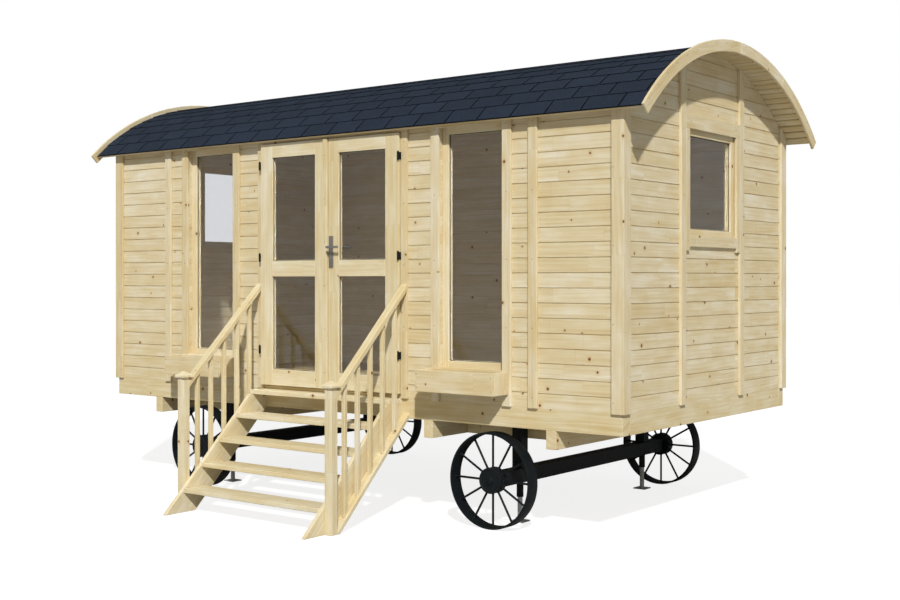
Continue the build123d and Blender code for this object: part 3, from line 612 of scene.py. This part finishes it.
# -------- walls
# Framed panels boarded with tongue-and-groove cladding, 96 mm cover, with a sloping shadow joint between
# boards. Spruce, planed and left untreated; inside and outside are boarded alike.
cover = 0.096
joint_half = 0.0036
joint_depth = 0.007
wall_low, wall_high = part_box("back_wall")
wall_start = wall_low.z
wall_spruce = planed_spruce("planed_spruce_cladding", "#E9E4D2", "#E2D8BD", "#CEBB8F", 0.14)
front_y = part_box("front_wall_piers")[0].y
inner_front_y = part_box("front_wall_piers")[1].y
gable_x = wall_high.x
inner_gable_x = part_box("gable_wall_sides")[1].x - (wall_high.y - wall_low.y)
front_faces = [(1, front_y, 1), (1, inner_front_y, -1)]
back_faces = [(1, wall_high.y, -1), (1, wall_low.y, 1)]
gable_faces = [(0, gable_x, -1), (0, -gable_x, 1), (0, inner_gable_x, 1), (0, -inner_gable_x, -1)]
for name, node, faces in (
    ("front_pier_boards", "front_wall_piers", front_faces),
    ("gable_side_boards", "gable_wall_sides", gable_faces),
    ("back_wall_boards", "back_wall", back_faces),
    ("under_window_boards", "walls_under_windows", front_faces + gable_faces),
    ("over_opening_boards", "walls_over_openings", front_faces + gable_faces),
):
    boards = merged(name, node)
    cut_joints(boards, 2, wall_start + cover, cover, joint_half, joint_depth, faces)
    give_timber(boards, 0, wall_spruce, "hut", "wall_spruce", node, lines=(2, wall_start, cover))

# -------- battens, casings and corner trims
# Planed strips nailed and screwed over the ends of the cladding and round the openings, with eased edges.
# Spruce, from cleaner stock than the cladding, so with fewer and smaller knots.
trim_spruce = planed_spruce("planed_spruce_trim", "#E8E2CF", "#E0D5B9", "#CFBE92", 0.09, 0.12)
for name, node in (
    ("corner_boards", "corner_trims"),
    ("upright_battens", "wall_battens"),
    ("door_casing_boards", "door_casings"),
    ("cross_casing_boards", "cross_casings"),
    ("gable_casing_boards", "gable_side_casings"),
):
    give_timber(merged(name, node), arris, trim_spruce, "hut", "trim_spruce", node)

# -------- screws
# Countersunk screws hold the trims, bargeboards, flower boxes and treads. Zinc-plated steel, with 8 mm
# heads that have a recess for the driver, drawn down flush with the wood.
screw_radius = 0.0042
screw_head = 0.003
screw_sunk = 0.0018  # from the wood's face to the middle of a head
screw_pitch = 0.48
screw_end = 0.07
corner_screw_rows = 4
corner_screw_edge = 0.014  # from a corner board's edge to its screws

# Zinc plating on the screws: thin, dull and a little yellow, with fine pits.
zinc, add, shader = new_material("zinc_plated_steel")
place = add("TexCoord").outputs["Object"]
tarnish = add("TexNoise", {"Vector": place, "Scale": 300.0, "Detail": 2.0})
feed(shader, {
    "Base Color": add("ValToRGB", {"Fac": tarnish}, [(0.3, "#67645B"), (0.7, "#8B8779")]),
    "Roughness": add("MapRange", {"Value": tarnish, "To Min": 0.5, "To Max": 0.4}),
    "Normal": add("Bump", {"Height": tarnish, "Strength": 0.1, "Distance": 0.0003}),
    "Metallic": 0.8,
})

screw = started(bpy.ops.mesh.primitive_cylinder_add, vertices=12, radius=screw_radius, depth=screw_head)
edit(screw, "FACE", lambda f: f.normal.z > 0.9)
for share, rise in ((0.18, 0.0006), (0.42, 0.0), (0.08, -0.0018)):
    bpy.ops.mesh.inset(thickness=screw_radius * share, depth=rise)
leave_edit()


def screws(name, body, places):
    """Screw heads at places, each a point on the surface and the direction out of it."""
    heads = []
    for point, outward in places:
        outward = Vector(outward)
        turn = Vector((0, 0, 1)).rotation_difference(outward).to_matrix().to_4x4()
        heads.append(copied(screw, Matrix.Translation(Vector(point) - screw_sunk * outward) @ turn))
    give(joined(name, heads), zinc, body, "galvanised_steel")


hut_centre = (wall_low + wall_high) / 2
hut_centre.y = (front_y + wall_high.y) / 2
trim_screws = []
for low, high in board_boxes("wall_battens", "door_casings", "cross_casings", "gable_side_casings"):
    span, middle = high - low, (low + high) / 2
    thin = min(range(3), key=lambda i: span[i])
    long = max(range(3), key=lambda i: span[i])
    out = Vector([float(i == thin) * math.copysign(1, middle[i] - hut_centre[i]) for i in range(3)])
    count = max(1, round((span[long] - 2 * screw_end) / screw_pitch))
    for k in range(count + 1):
        point = middle.copy()
        point[thin] = high[thin] if out[thin] > 0 else low[thin]
        point[long] = low[long] + screw_end + (span[long] - 2 * screw_end) * k / count
        trim_screws.append((point, out))
for low, high in board_boxes("corner_trims"):
    middle = (low + high) / 2
    away_x = math.copysign(1, middle.x - hut_centre.x)
    away_y = math.copysign(1, middle.y - hut_centre.y)
    face_x, inner_x = (high.x, low.x) if away_x > 0 else (low.x, high.x)
    face_y, inner_y = (high.y, low.y) if away_y > 0 else (low.y, high.y)
    for k in range(corner_screw_rows):
        z = low.z + screw_end + screw_pitch * k
        trim_screws.append(((inner_x + away_x * corner_screw_edge, face_y, z), (0, away_y, 0)))
        z += screw_pitch / 3
        trim_screws.append(((face_x, inner_y + away_y * corner_screw_edge, z), (away_x, 0, 0)))
screws("trim_screws", "hut", trim_screws)

# -------- windows
# Fixed lights: stiles and rails with a tight butt joint, one sealed pane set against a rubber seal, and a
# bead nailed round it on the room side. The joinery is finer-grained spruce, nearly free of knots.
bead_face = 0.0045  # the seal on the other side hides it from outside
bead_gap = 0.001  # between a bead and the frame round it
seal_face = 0.0035  # how much of the seal shows round the glass
seal_depth = 0.004
window_bead_depth = 0.006
bead_arris = 0.001
seal_arris = 0.0008
frame_spruce = planed_spruce("planed_spruce_joinery", "#EAE4D0", "#E3D8BB", "#D2C296", 0.04, 0.12)
for name, node in (("window_stiles", "window_frame_stiles"), ("window_rails", "window_frame_rails")):
    give_timber(merged(name, node), arris, frame_spruce, "hut", "frame_spruce", node)


def round_pane(pane, thin, way, face, depth, gap):
    """Four strips round a pane on one side. Thin is the axis through the glass, and way points out of it."""
    wide = 1 - thin
    room = Vector([gap * (i != thin) for i in range(3)])
    low, high = pane[0] + room, pane[1] - room
    surface = high[thin] if way > 0 else low[thin]
    start, stop = sorted((surface, surface + way * depth))
    strips = []
    for left, right, bottom, top in (
        (low[wide], low[wide] + face, low.z, high.z),
        (high[wide] - face, high[wide], low.z, high.z),
        (low[wide] + face, high[wide] - face, low.z, low.z + face),
        (low[wide] + face, high[wide] - face, high.z - face, high.z),
    ):
        a, b = Vector((0, 0, bottom)), Vector((0, 0, top))
        a[thin], b[thin] = start, stop
        a[wide], b[wide] = left, right
        strips.append(board(a, b))
    return strips


# The seal is extruded EPDM rubber: black, matt and slightly dusty.
seal_rubber, add, shader = new_material("extruded_rubber_seal")
place = add("TexCoord").outputs["Object"]
bloom = add("TexNoise", {"Vector": place, "Scale": 40.0, "Detail": 3.0})
feed(shader, {
    "Base Color": add("ValToRGB", {"Fac": bloom}, [(0.3, "#262420"), (0.7, "#35322C")]),
    "Roughness": add("MapRange", {"Value": bloom, "To Min": 0.6, "To Max": 0.75}),
    "Normal": add("Bump", {"Height": bloom, "Strength": 0.1, "Distance": 0.0003}),
})


def glaze(name, panes, material, body, slot, bead_depth):
    """Beads on the room side of some panes, and a seal on their outer side."""
    wooden, rubber = [], []
    for pane in panes:
        span, middle = pane[1] - pane[0], (pane[0] + pane[1]) / 2
        thin = 0 if span.x < span.y else 1
        out = math.copysign(1, middle[thin] - hut_centre[thin])
        wooden += round_pane(pane, thin, -out, bead_face, bead_depth, bead_gap)
        rubber += round_pane(pane, thin, out, seal_face, seal_depth, 0.0)
    give_timber(joined(f"{name}_beads", wooden), bead_arris, material, body, slot)
    rubber = joined(f"{name}_seals", rubber)
    ease(rubber, seal_arris)
    give(rubber, seal_rubber, body, "glazing")


window_panes = board_boxes("window_panes")
glaze("window", window_panes, frame_spruce, "hut", "frame_spruce", window_bead_depth)

# Float glass in a sealed unit: clear, a little grey, mirror-smooth. Lamps shine through it into the room.
glass, add, shader = new_material("float_glass")
feed(shader, {"Base Color": linear("#EDEEF0"), "Roughness": 0.0, "IOR": 1.45, "Transmission Weight": 1.0})
path = add("LightPath")
clear = add("BsdfTransparent", {"Color": linear("#EBECED")})
let_through = add("MixShader", {0: path.outputs["Is Shadow Ray"], 1: shader, 2: clear})
feed(glass.node_tree.nodes["Material Output"], {"Surface": let_through})
coat_nodes(glass, "window_panes")

# -------- door frame
# Jambs set into the wall panels with a planted stop, and a floor sill between them. Planed spruce.
for name, node in (("jamb_posts", "door_jambs"), ("sill_board", "door_sill")):
    give_timber(merged(name, node), arris, frame_spruce, "hut", "frame_spruce", node)

# -------- door leaves
# Each leaf is two stiles with three rails tenoned between them, and two panes held by beads. The meeting
# stile's inner corner is planed back so that the leaves pass each other.
meeting_bevel = 0.004
door_arris = 0.0018
door_bead_depth = 0.005
strip_arris = 0.003
door_spruce = planed_spruce("planed_spruce_doors", "#E9E3CF", "#E2D8BC", "#D2C398", 0.05, 0.12)
for side, door in ((-1, "left_door"), (1, "right_door")):
    low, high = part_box(f"{door}_leaf")
    glass_low, glass_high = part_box(f"{door}_glass")
    rows = sorted({round(v.co.z, 4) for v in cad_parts[f"{door}_glass"].data.vertices})
    stiles = [board(low, (glass_low.x, high.y, high.z)), board((glass_high.x, low.y, low.z), high)]
    meeting = stiles[1] if side < 0 else stiles[0]
    meeting_x = high.x if side < 0 else low.x
    shift(
        meeting, lambda v: abs(v.co.x - meeting_x) < near and abs(v.co.y - high.y) < near,
        (side * meeting_bevel, 0, 0),
    )
    rails = [
        board((glass_low.x, low.y, bottom), (glass_high.x, high.y, top))
        for bottom, top in ((low.z, rows[0]), (rows[1], rows[2]), (rows[3], high.z))
    ]
    leaf = joined(f"{door}_joinery", stiles + rails)
    give_timber(leaf, door_arris, door_spruce, door, "door_spruce", f"{door}_leaf")

    glaze(door, board_boxes(f"{door}_glass"), door_spruce, door, "door_spruce", door_bead_depth)
    coat_nodes(glass, f"{door}_glass")

cover_strip = merged("cover_strip", "left_door_cover_strip")
give_timber(cover_strip, strip_arris, door_spruce, "left_door", "door_spruce", "left_door_cover_strip")
strip_low, strip_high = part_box("left_door_cover_strip")
strip_screw_count = 6
strip_screw_end = 0.12
strip_reach = strip_high.z - strip_low.z - 2 * strip_screw_end
strip_screws = []
for k in range(strip_screw_count):
    z = strip_low.z + strip_screw_end + k * strip_reach / (strip_screw_count - 1)
    strip_screws.append((((strip_low.x + strip_high.x) / 2, strip_low.y, z), (0, -1, 0)))
screws("cover_strip_screws", "left_door", strip_screws)

# -------- hinges and handle
# Butt hinges of pressed and rolled steel, coated black. The handle is a long plate with a lever and a lock
# below it, of satin stainless steel, brushed along its length.
coat_nodes(black_coat, "frame_hinge_leaves", "left_door_hinge_leaves", "right_door_hinge_leaves")

finial_radius = 0.0075
finial_foot = 0.002
finial_steps = ((0.003, 0.85), (0.004, 0.5), (0.002, 0.4))  # each step's rise and how it narrows
barrel_radius = 0.008
finial = started(
    bpy.ops.mesh.primitive_cylinder_add, vertices=16, radius=finial_radius, depth=finial_foot
)
edit(finial, "FACE", lambda f: f.normal.z > 0.9)
for rise, narrowing in finial_steps:
    bpy.ops.mesh.extrude_region_move(TRANSFORM_OT_translate={"value": (0, 0, rise)})
    bpy.ops.transform.resize(value=(narrowing, narrowing, 1))
leave_edit()
finials = []
for low, high in board_boxes("frame_hinge_leaves"):
    pin = Vector(((low.x + high.x) / 2, low.y + barrel_radius, 0))
    finials.append(copied(finial, Matrix.Translation(pin + Vector((0, 0, high.z)))))
    over = Matrix.Translation(pin + Vector((0, 0, low.z))) @ Matrix.Rotation(math.pi, 4, "X")
    finials.append(copied(finial, over))
bpy.data.objects.remove(finial)
finials = joined("hinge_finials", finials)
smooth(finials, 50)
give(finials, black_coat, "hut", "hinge_steel")

# Satin stainless steel: grey and soft, with brush lines that spread the light across them.
brush_pitch = 0.0006  # brush lines, drawn about three times as coarse as they are
satin, add, shader = new_material("satin_stainless_steel")
place = add("TexCoord").outputs["Object"]
brushed = add("Mapping", {"Vector": place, "Scale": (1 / brush_pitch, 1 / brush_pitch, 20.0)})
brushed = add("TexNoise", {"Vector": brushed, "Scale": 1.0, "Detail": 2.0})
feed(shader, {
    "Base Color": add("ValToRGB", {"Fac": brushed}, [(0.3, "#7F7D77"), (0.7, "#96948D")]),
    "Roughness": add("MapRange", {"Value": brushed, "To Min": 0.3, "To Max": 0.45}),
    "Normal": add("Bump", {"Height": brushed, "Strength": 0.15, "Distance": 0.0002}),
    "Metallic": 0.6,
})

plates = merged("handle_plates", "right_door_handle_plates")
ease(plates, 0.0015, 2, 50)
smooth(plates)
give(plates, satin, "right_door", "handle_steel", "right_door_handle_plates")
lever = merged("lever_handle", "door_lever")
ease(lever, 0.003, 3, 50)
smooth(lever)
give(lever, satin, "lever", "handle_steel", "door_lever")

lock_radius = 0.0085
lock_depth = 0.004
lock_proud = 0.001  # how far a lock barrel's middle stands off its plate
lock_rise = 0.045  # from the plate's foot to the middle of the lock
plate_low, plate_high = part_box("right_door_handle_plates")
lock_z = plate_low.z + lock_rise
lock_x = (plate_low.x + plate_high.x) / 2
locks = []
for outer_y, out in ((plate_low.y, -1), (plate_high.y, 1)):
    barrel = started(
        bpy.ops.mesh.primitive_cylinder_add, vertices=32, radius=lock_radius, depth=lock_depth,
        location=(lock_x, outer_y + out * lock_proud, lock_z), rotation=(math.radians(90), 0, 0),
    )
    edit(barrel, "FACE", lambda f: f.normal.y * out > 0.9)
    bpy.ops.mesh.inset(thickness=0.0015, depth=0.0005)
    bpy.ops.mesh.inset(thickness=0.004, depth=0.0)
    bpy.ops.transform.resize(value=(0.35, 1, 1.5), center_override=(lock_x, outer_y, lock_z))
    bpy.ops.mesh.inset(thickness=0.0002, depth=-0.002)
    leave_edit()
    locks.append(barrel)
locks = joined("lock_barrels", locks)
smooth(locks)
give(locks, satin, "right_door", "handle_steel")

# -------- roof boards
# Straight tongue-and-groove boards laid side by side along the hut over the curved gables, so that the
# roof is a bow of narrow flats. Their lower edges are chamfered, and the joints show from below.
deck_low, deck_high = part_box("roof_deck")
barge_low, barge_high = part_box("bargeboards")
roof_y = (deck_low.y + deck_high.y) / 2
roof_half_span = (barge_high.y - barge_low.y) / 2
barge_radius = 1.89518  # outer edge of the bargeboards
roof_z = barge_high.z - barge_radius
roof_half_angle = math.asin(roof_half_span / barge_radius)
deck_radius = deck_high.z - roof_z
deck_thickness = 0.019
under_radius = deck_radius - deck_thickness
deck_top = roof_z + deck_radius
deck_foot = roof_z + under_radius
deck_half_angle = math.asin((deck_high.y - deck_low.y) / 2 / deck_radius)
deck_boards = 44
deck_gap = 0.0034  # half the gap between two boards
deck_chamfer = 0.005
roof_centre = Vector((0, roof_y, roof_z))


def round_the_roof(angle):
    """The move that takes a piece from the ridge to this angle round the roof, positive to the back."""
    return (
        Matrix.Translation(roof_centre) @ Matrix.Rotation(-angle, 4, "X") @ Matrix.Translation(-roof_centre)
    )


def laid_over_the_roof(piece, count):
    """Copies of a ridge piece side by side from eaves to eaves, in place of the piece."""
    pitch = 2 * deck_half_angle / count
    copies = [copied(piece, round_the_roof((k + 0.5) * pitch - deck_half_angle)) for k in range(count)]
    bpy.data.objects.remove(piece)
    return copies


half_board = under_radius * math.tan(deck_half_angle / deck_boards) - deck_gap
plank = board((deck_low.x, roof_y - half_board, deck_foot), (deck_high.x, roof_y + half_board, deck_top))
edit(plank, "EDGE", lambda e: e.calc_length() > 1 and all(v.co.z < deck_foot + near for v in e.verts))
bpy.ops.mesh.bevel(offset=deck_chamfer, segments=1)
leave_edit()
planks = laid_over_the_roof(plank, deck_boards)
deck_spruce = planed_spruce("planed_spruce_roof_boards", "#E2DAC3", "#D9CDAE", "#C6B386", 0.12)
give_timber(joined("roof_boards", planks), 0, deck_spruce, "hut", "deck_spruce", "roof_deck")

# -------- shingles
# Bitumen felt shingles with a slate-blue mineral grit, nailed in courses from the eaves up. Each strip is
# slotted into tabs, half a tab aside from the course below, and a row of single tabs caps the ridge.
tab_pitch = 0.265
slot_width = 0.011
course_count = 10
course_rise = 0.0045  # a tab's lower edge stands this much above the course that it lies on
tab_lap = 0.012
slot_x = 2.164  # one slot of the lowest course
eaves_step = 0.007  # the lowest course stops this far short of the boards' edge
eaves_angle = deck_half_angle - eaves_step / deck_radius
course_angle = eaves_angle / course_count
shingle_top = 0.0064  # outer face of a tab's lower edge above the roof boards
shingle_foot = 0.0003  # its inner face above them
half_tab = 0.001  # between a tab's two faces
end_gap = 0.001  # the shingles stop this far short of the boards' ends
grit = 0.004  # mineral grit, drawn about twice as coarse as it is

# Bitumen felt faced with mineral grit: dull slate blue, speckled, each tab a little lighter or darker.
felt, add, shader = new_material("mineral_faced_bitumen_felt")
place = add("TexCoord").outputs["Object"]
tab_number = add("Attribute", attribute_name="board").outputs["Fac"]
grains = add("TexNoise", {"Vector": place, "Scale": 1 / grit, "Detail": 1.0})
blotch = add("TexNoise", {"Vector": place, "Scale": 6.0, "Detail": 3.0})
grain_tone = add("ValToRGB", {"Fac": grains}, [(0.32, "#1B222D"), (0.5, "#242D3A"), (0.66, "#303A49")])
tab_tone = add("MapRange", {"Value": tab_number, "To Min": 0.80, "To Max": 0.94})
tab_tone = add("Math", {0: blotch, 1: 0.25, 2: tab_tone}, operation="MULTIPLY_ADD")
felt_tone = add("VectorMath", {0: grain_tone, "Scale": tab_tone}, operation="SCALE")
# Painted shade: faces marked bare go near black, for the bitumen core and the shade in slots and under lower
# edges.
bare = add("Attribute", attribute_name="bare").outputs["Fac"]
felt_tone = add("MixRGB", {"Fac": bare, "Color1": felt_tone, "Color2": linear("#08090A")})
feed(shader, {
    "Base Color": felt_tone, "Roughness": 0.92, "Specular IOR Level": 0.12,
    "Normal": add("Bump", {"Height": grains, "Strength": 0.5, "Distance": 0.0012}),
})



def sag(reach):
    """How far the roof's bow falls away from a flat tab at this distance from where it touches."""
    return reach**2 / 2 / deck_radius


tab_length = deck_radius * course_angle + tab_lap
tab_middle = roof_y + tab_length / 2
tab_end = roof_y + tab_length
tab = board(
    (-tab_pitch + slot_width / 2, roof_y, deck_top + shingle_foot),
    (-slot_width / 2, tab_end, deck_top + shingle_top - course_rise),
)
edit(tab, "VERT", lambda v: True)
bpy.ops.mesh.bisect(plane_co=(0, tab_middle, 0), plane_no=(0, 1, 0))
leave_edit()
shift(tab, lambda v: v.co.y < roof_y + near and v.co.z > deck_top + half_tab, (0, 0, course_rise))
shift(tab, lambda v: abs(v.co.y - tab_middle) < near, (0, 0, course_rise / 2 - sag(tab_length / 2)))
shift(tab, lambda v: v.co.y > tab_end - near, (0, 0, -sag(tab_length)))


def mark_bare_and_shaded(piece, test):
    """Mark the faces that turn near black: bare bitumen, and painted shade in the slots and under the tabs'
    lower edges.
    """
    if "bare" not in piece.data.attributes:
        piece.data.attributes.new("bare", "FLOAT", "FACE")
    bare_and_shaded_faces = piece.data.attributes["bare"]
    for face in piece.data.polygons:
        bare_and_shaded_faces.data[face.index].value = float(test(face))


mark_bare_and_shaded(tab, lambda face: abs(face.normal.z) < 0.5)
courses = []
for number in range(course_count):
    row = copied(tab)
    # The lowest course's lower edge at the eaves keeps its grit; only its slot sides get the near black.
    if number == 0:
        mark_bare_and_shaded(row, lambda face: abs(face.normal.x) > 0.5)
    across = slot_x % tab_pitch + (number % 2) * tab_pitch / 2
    first = math.floor((deck_low.x - across) / tab_pitch) + 1
    row.data.transform(Matrix.Translation((across + first * tab_pitch, 0, 0)))
    modify(
        row, "ARRAY", count=math.ceil((deck_high.x - deck_low.x) / tab_pitch) + 1,
        use_relative_offset=False, use_constant_offset=True, constant_offset_displace=(tab_pitch, 0, 0),
    )
    for end, keep_inner in ((deck_low.x + end_gap, False), (deck_high.x - end_gap, True)):
        edit(row, "VERT", lambda v: True)
        bpy.ops.mesh.bisect(
            plane_co=(end, 0, 0), plane_no=(1, 0, 0), use_fill=True,
            clear_outer=keep_inner, clear_inner=not keep_inner,
        )
        leave_edit()
    angle = eaves_angle - number * course_angle
    courses.append(copied(row, round_the_roof(-angle)))
    turned = Matrix.Translation(roof_centre) @ Matrix.Rotation(math.pi, 4, "Z")
    courses.append(copied(row, round_the_roof(angle) @ turned @ Matrix.Translation(-roof_centre)))
    bpy.data.objects.remove(row)
bpy.data.objects.remove(tab)

cap_pitch = 0.135
cap_half = 0.125
cap_lap = 0.012
cap_thickness = 0.002
ridge_rise = 0.0028  # a cap's showing end stands this much above the cap that it lies on
cap_base = deck_top + shingle_top - half_tab
cap_start = deck_low.x + end_gap
cap = board(
    (cap_start, roof_y - cap_half, cap_base),
    (deck_low.x + cap_pitch + cap_lap, roof_y + cap_half, cap_base + cap_thickness),
)
edit(cap, "VERT", lambda v: True)
for away in (-cap_half / 2, 0, cap_half / 2):
    bpy.ops.mesh.select_all(action="SELECT")
    bpy.ops.mesh.bisect(plane_co=(0, roof_y + away, 0), plane_no=(0, 1, 0))
leave_edit()
shift(cap, lambda v: v.co.x < cap_start + near and v.co.z > cap_base + half_tab, (0, 0, ridge_rise))
for away in (cap_half / 2, cap_half):
    shift(cap, lambda v: abs(abs(v.co.y - roof_y) - away) < near, (0, 0, -sag(away)))
mark_bare_and_shaded(cap, lambda face: abs(face.normal.z) < 0.5)
cap_count = math.floor((deck_high.x - deck_low.x - cap_lap - 2 * end_gap) / cap_pitch)
for k in range(cap_count):
    courses.append(copied(cap, Matrix.Translation((k * cap_pitch, 0, 0))))
bpy.data.objects.remove(cap)
tabs = joined("shingle_tabs", courses)
lay_grain(tabs)
give(tabs, felt, "hut", "bitumen_shingle", "roof_shingles")

# The underfelt that shows in the slots: one sheet over the boards, from eaves to eaves, laid in flats. It is
# all near black, bitumen darkened as painted shade in the slots.
felt_flats = 64
felt_half = deck_radius * math.tan(deck_half_angle / felt_flats)
felt_foot = deck_top + 0.0006
felt_thickness = 0.001
sheet = board(
    (deck_low.x + 2 * end_gap, roof_y - felt_half, felt_foot),
    (deck_high.x - 2 * end_gap, roof_y + felt_half, felt_foot + felt_thickness),
)
underfelt = joined("underfelt", laid_over_the_roof(sheet, felt_flats))
lay_grain(underfelt)
mark_bare_and_shaded(underfelt, lambda face: True)
give(underfelt, felt, "hut", "bitumen_shingle")

# -------- bargeboards
# Short curved lengths sawn from wide spruce boards, butted end to end over the roof boards' ends and
# screwed to them. The grain runs straight through each length, so it leaves the curve at its ends.
barge_planed = 0.0008  # planed under size, so that the screw heads stay inside the hut's length
barges = merged("barge_lengths", "bargeboards")
for side in (-1, 1):
    shift(barges, lambda v: v.co.x * side > barge_high.x - near, (-side * barge_planed, 0, 0))
give_timber(
    barges, 0.003, trim_spruce, "hut", "trim_spruce", "bargeboards",
    along=lambda middle: Vector((0, roof_z - middle.z, middle.y - roof_y)),
)
barge_screw_count = 20
barge_screw_edge = 0.025  # from a bargeboard's upper edge to its screws
reach = barge_radius - barge_screw_edge
barge_screws = []
for side in (-1, 1):
    x = side * (barge_high.x - barge_planed)
    for k in range(barge_screw_count):
        angle = (k + 0.5) / barge_screw_count * 2 * roof_half_angle - roof_half_angle
        y, z = roof_y + reach * math.sin(angle), roof_z + reach * math.cos(angle)
        barge_screws.append(((x, y, z), (side, 0, 0)))
screws("barge_screws", "hut", barge_screws)

# -------- flower boxes
# Open boxes of planed boards under the front windows: long sides over the ends, a bottom let in between,
# screwed together and to the wall.
box_board = 0.02
box_screw_edge = 0.03
box_parts = []
box_screws = []
for low, high in board_boxes("flower_boxes"):
    left, right, near_y, far_y = (
        low.x + box_board, high.x - box_board, low.y + box_board, high.y - box_board
    )
    box_parts += [
        board(low, (high.x, near_y, high.z)),
        board((low.x, far_y, low.z), high),
        board((low.x, near_y, low.z), (left, far_y, high.z)),
        board((right, near_y, low.z), (high.x, far_y, high.z)),
        board((left, near_y, low.z), (right, far_y, low.z + box_board)),
    ]
    for x in (low.x + box_board / 2, high.x - box_board / 2):
        for z in (low.z + box_screw_edge, high.z - box_screw_edge):
            box_screws.append(((x, low.y, z), (0, -1, 0)))
boxes = joined("flower_box_boards", box_parts)
give_timber(boxes, arris, trim_spruce, "hut", "trim_spruce", "flower_boxes")
screws("flower_box_screws", "hut", box_screws)

# -------- stair
# Plain stringers with treads housed between them, newels with a turned-down cap, and a sloping handrail
# and base rail with square balusters between. Planed spruce, finger-jointed in the thin pieces.
stair_spruce = planed_spruce("planed_spruce_stair", "#E9E4D0", "#E2D8BC", "#D1C094", 0.1)
for name, node, width in (
    ("stringer_boards", "stair_stringers", arris),
    ("tread_boards", "stair_treads", 0.003),
    ("newel_posts", "stair_newels", arris),
    ("handrail_bars", "stair_handrails", 0.004),
    ("base_rail_bars", "stair_base_rails", arris),
    ("baluster_bars", "stair_balusters", 0.002),
):
    give_timber(merged(name, node), width, stair_spruce, "hut", "stair_spruce", node)
tread_screw_end = 0.018
tread_screw_edge = 0.04
stair_screws = []
for low, high in board_boxes("stair_treads"):
    for x in (tread_screw_end - high.x, high.x - tread_screw_end):
        for y in (low.y + tread_screw_edge, high.y - tread_screw_edge):
            stair_screws.append(((x, y, high.z), (0, 0, 1)))
screws("tread_screws", "hut", stair_screws)
bpy.data.objects.remove(screw)

# -------- floor, light and camera
# A plain pale floor and a white surround, with one broad key lamp and an even fill from all round.
fill_level = 0.28
key_level = 3.35
floor_glow = 0.84  # what the floor adds to its own light to show white
mirror_front = 0.45  # the surround's level in the panes, in front of the hut and behind it
mirror_back = 0.05
key_from = Vector((0.504, -0.599, 0.622))


def in_view(add):
    """The light path, and 1 for a ray that comes from the camera or through glass."""
    path = add("LightPath")
    rays = {0: path.outputs["Is Camera Ray"], 1: path.outputs["Is Transmission Ray"]}
    return path, add("Math", rays, operation="MAXIMUM")


# The floor lights the hut from below as a mid grey does, and shows white apart from the hut's shadow.
ground = started(bpy.ops.mesh.primitive_plane_add, size=120.0, location=(0, 0, -0.0005))
ground.name = "studio_floor"
studio, add, shader = new_material("matt_studio_floor")
path, seen = in_view(add)
grey = add("MixRGB", {"Fac": seen, "Color1": linear("#B4B4B4"), "Color2": linear("#898989")})
glow = add("Math", {0: seen, 1: floor_glow}, operation="MULTIPLY")
feed(shader, {
    "Base Color": grey, "Roughness": 0.95, "Specular IOR Level": 0.0,
    "Emission Color": (1, 1, 1, 1), "Emission Strength": glow,
})
ground.data.materials.append(studio)

# The surround shows white, lights the hut evenly all round, and mirrors faintly in its panes.
world = bpy.data.worlds.new("studio_surround")
bpy.context.scene.world = world
world.use_nodes = True
add = functools.partial(add_node, world.node_tree)
path, seen = in_view(add)
side = add("TexCoord").outputs["Generated"]
side = add("SeparateXYZ", {"Vector": side})
mirrored = add(
    "MapRange",
    {"Value": side.outputs["Y"], "From Min": -1.0, "To Min": mirror_front, "To Max": mirror_back},
)
strength = add(
    "MapRange", {"Value": path.outputs["Is Glossy Ray"], "To Min": fill_level, "To Max": mirrored}
)
strength = add("MapRange", {"Value": seen, "To Min": strength, "To Max": 1.0})
feed(world.node_tree.nodes["Background"], {"Color": (1, 1, 1, 1), "Strength": strength})

lamp = bpy.data.lights.new("key_lamp", "SUN")
lamp.energy = key_level
lamp.angle = math.radians(1.8)
lamp.color = (1.0, 0.985, 0.96)
key = bpy.data.objects.new("key_lamp", lamp)
key.rotation_euler = (-key_from).to_track_quat("-Z", "Y").to_euler()
bpy.context.scene.collection.objects.link(key)

lens = bpy.data.cameras.new("camera")
lens.sensor_width = 36.0
lens.lens = 50.42
lens.shift_y = -0.0231
lens.clip_end = 500.0
camera = bpy.data.objects.new("camera", lens)
camera.location = (6.2443, -7.5113, 1.6425)
camera.rotation_euler = (math.radians(90), 0, math.radians(37.49))
bpy.context.scene.collection.objects.link(camera)
bpy.context.scene.camera = camera
bpy.context.scene.view_settings.view_transform = "Standard"
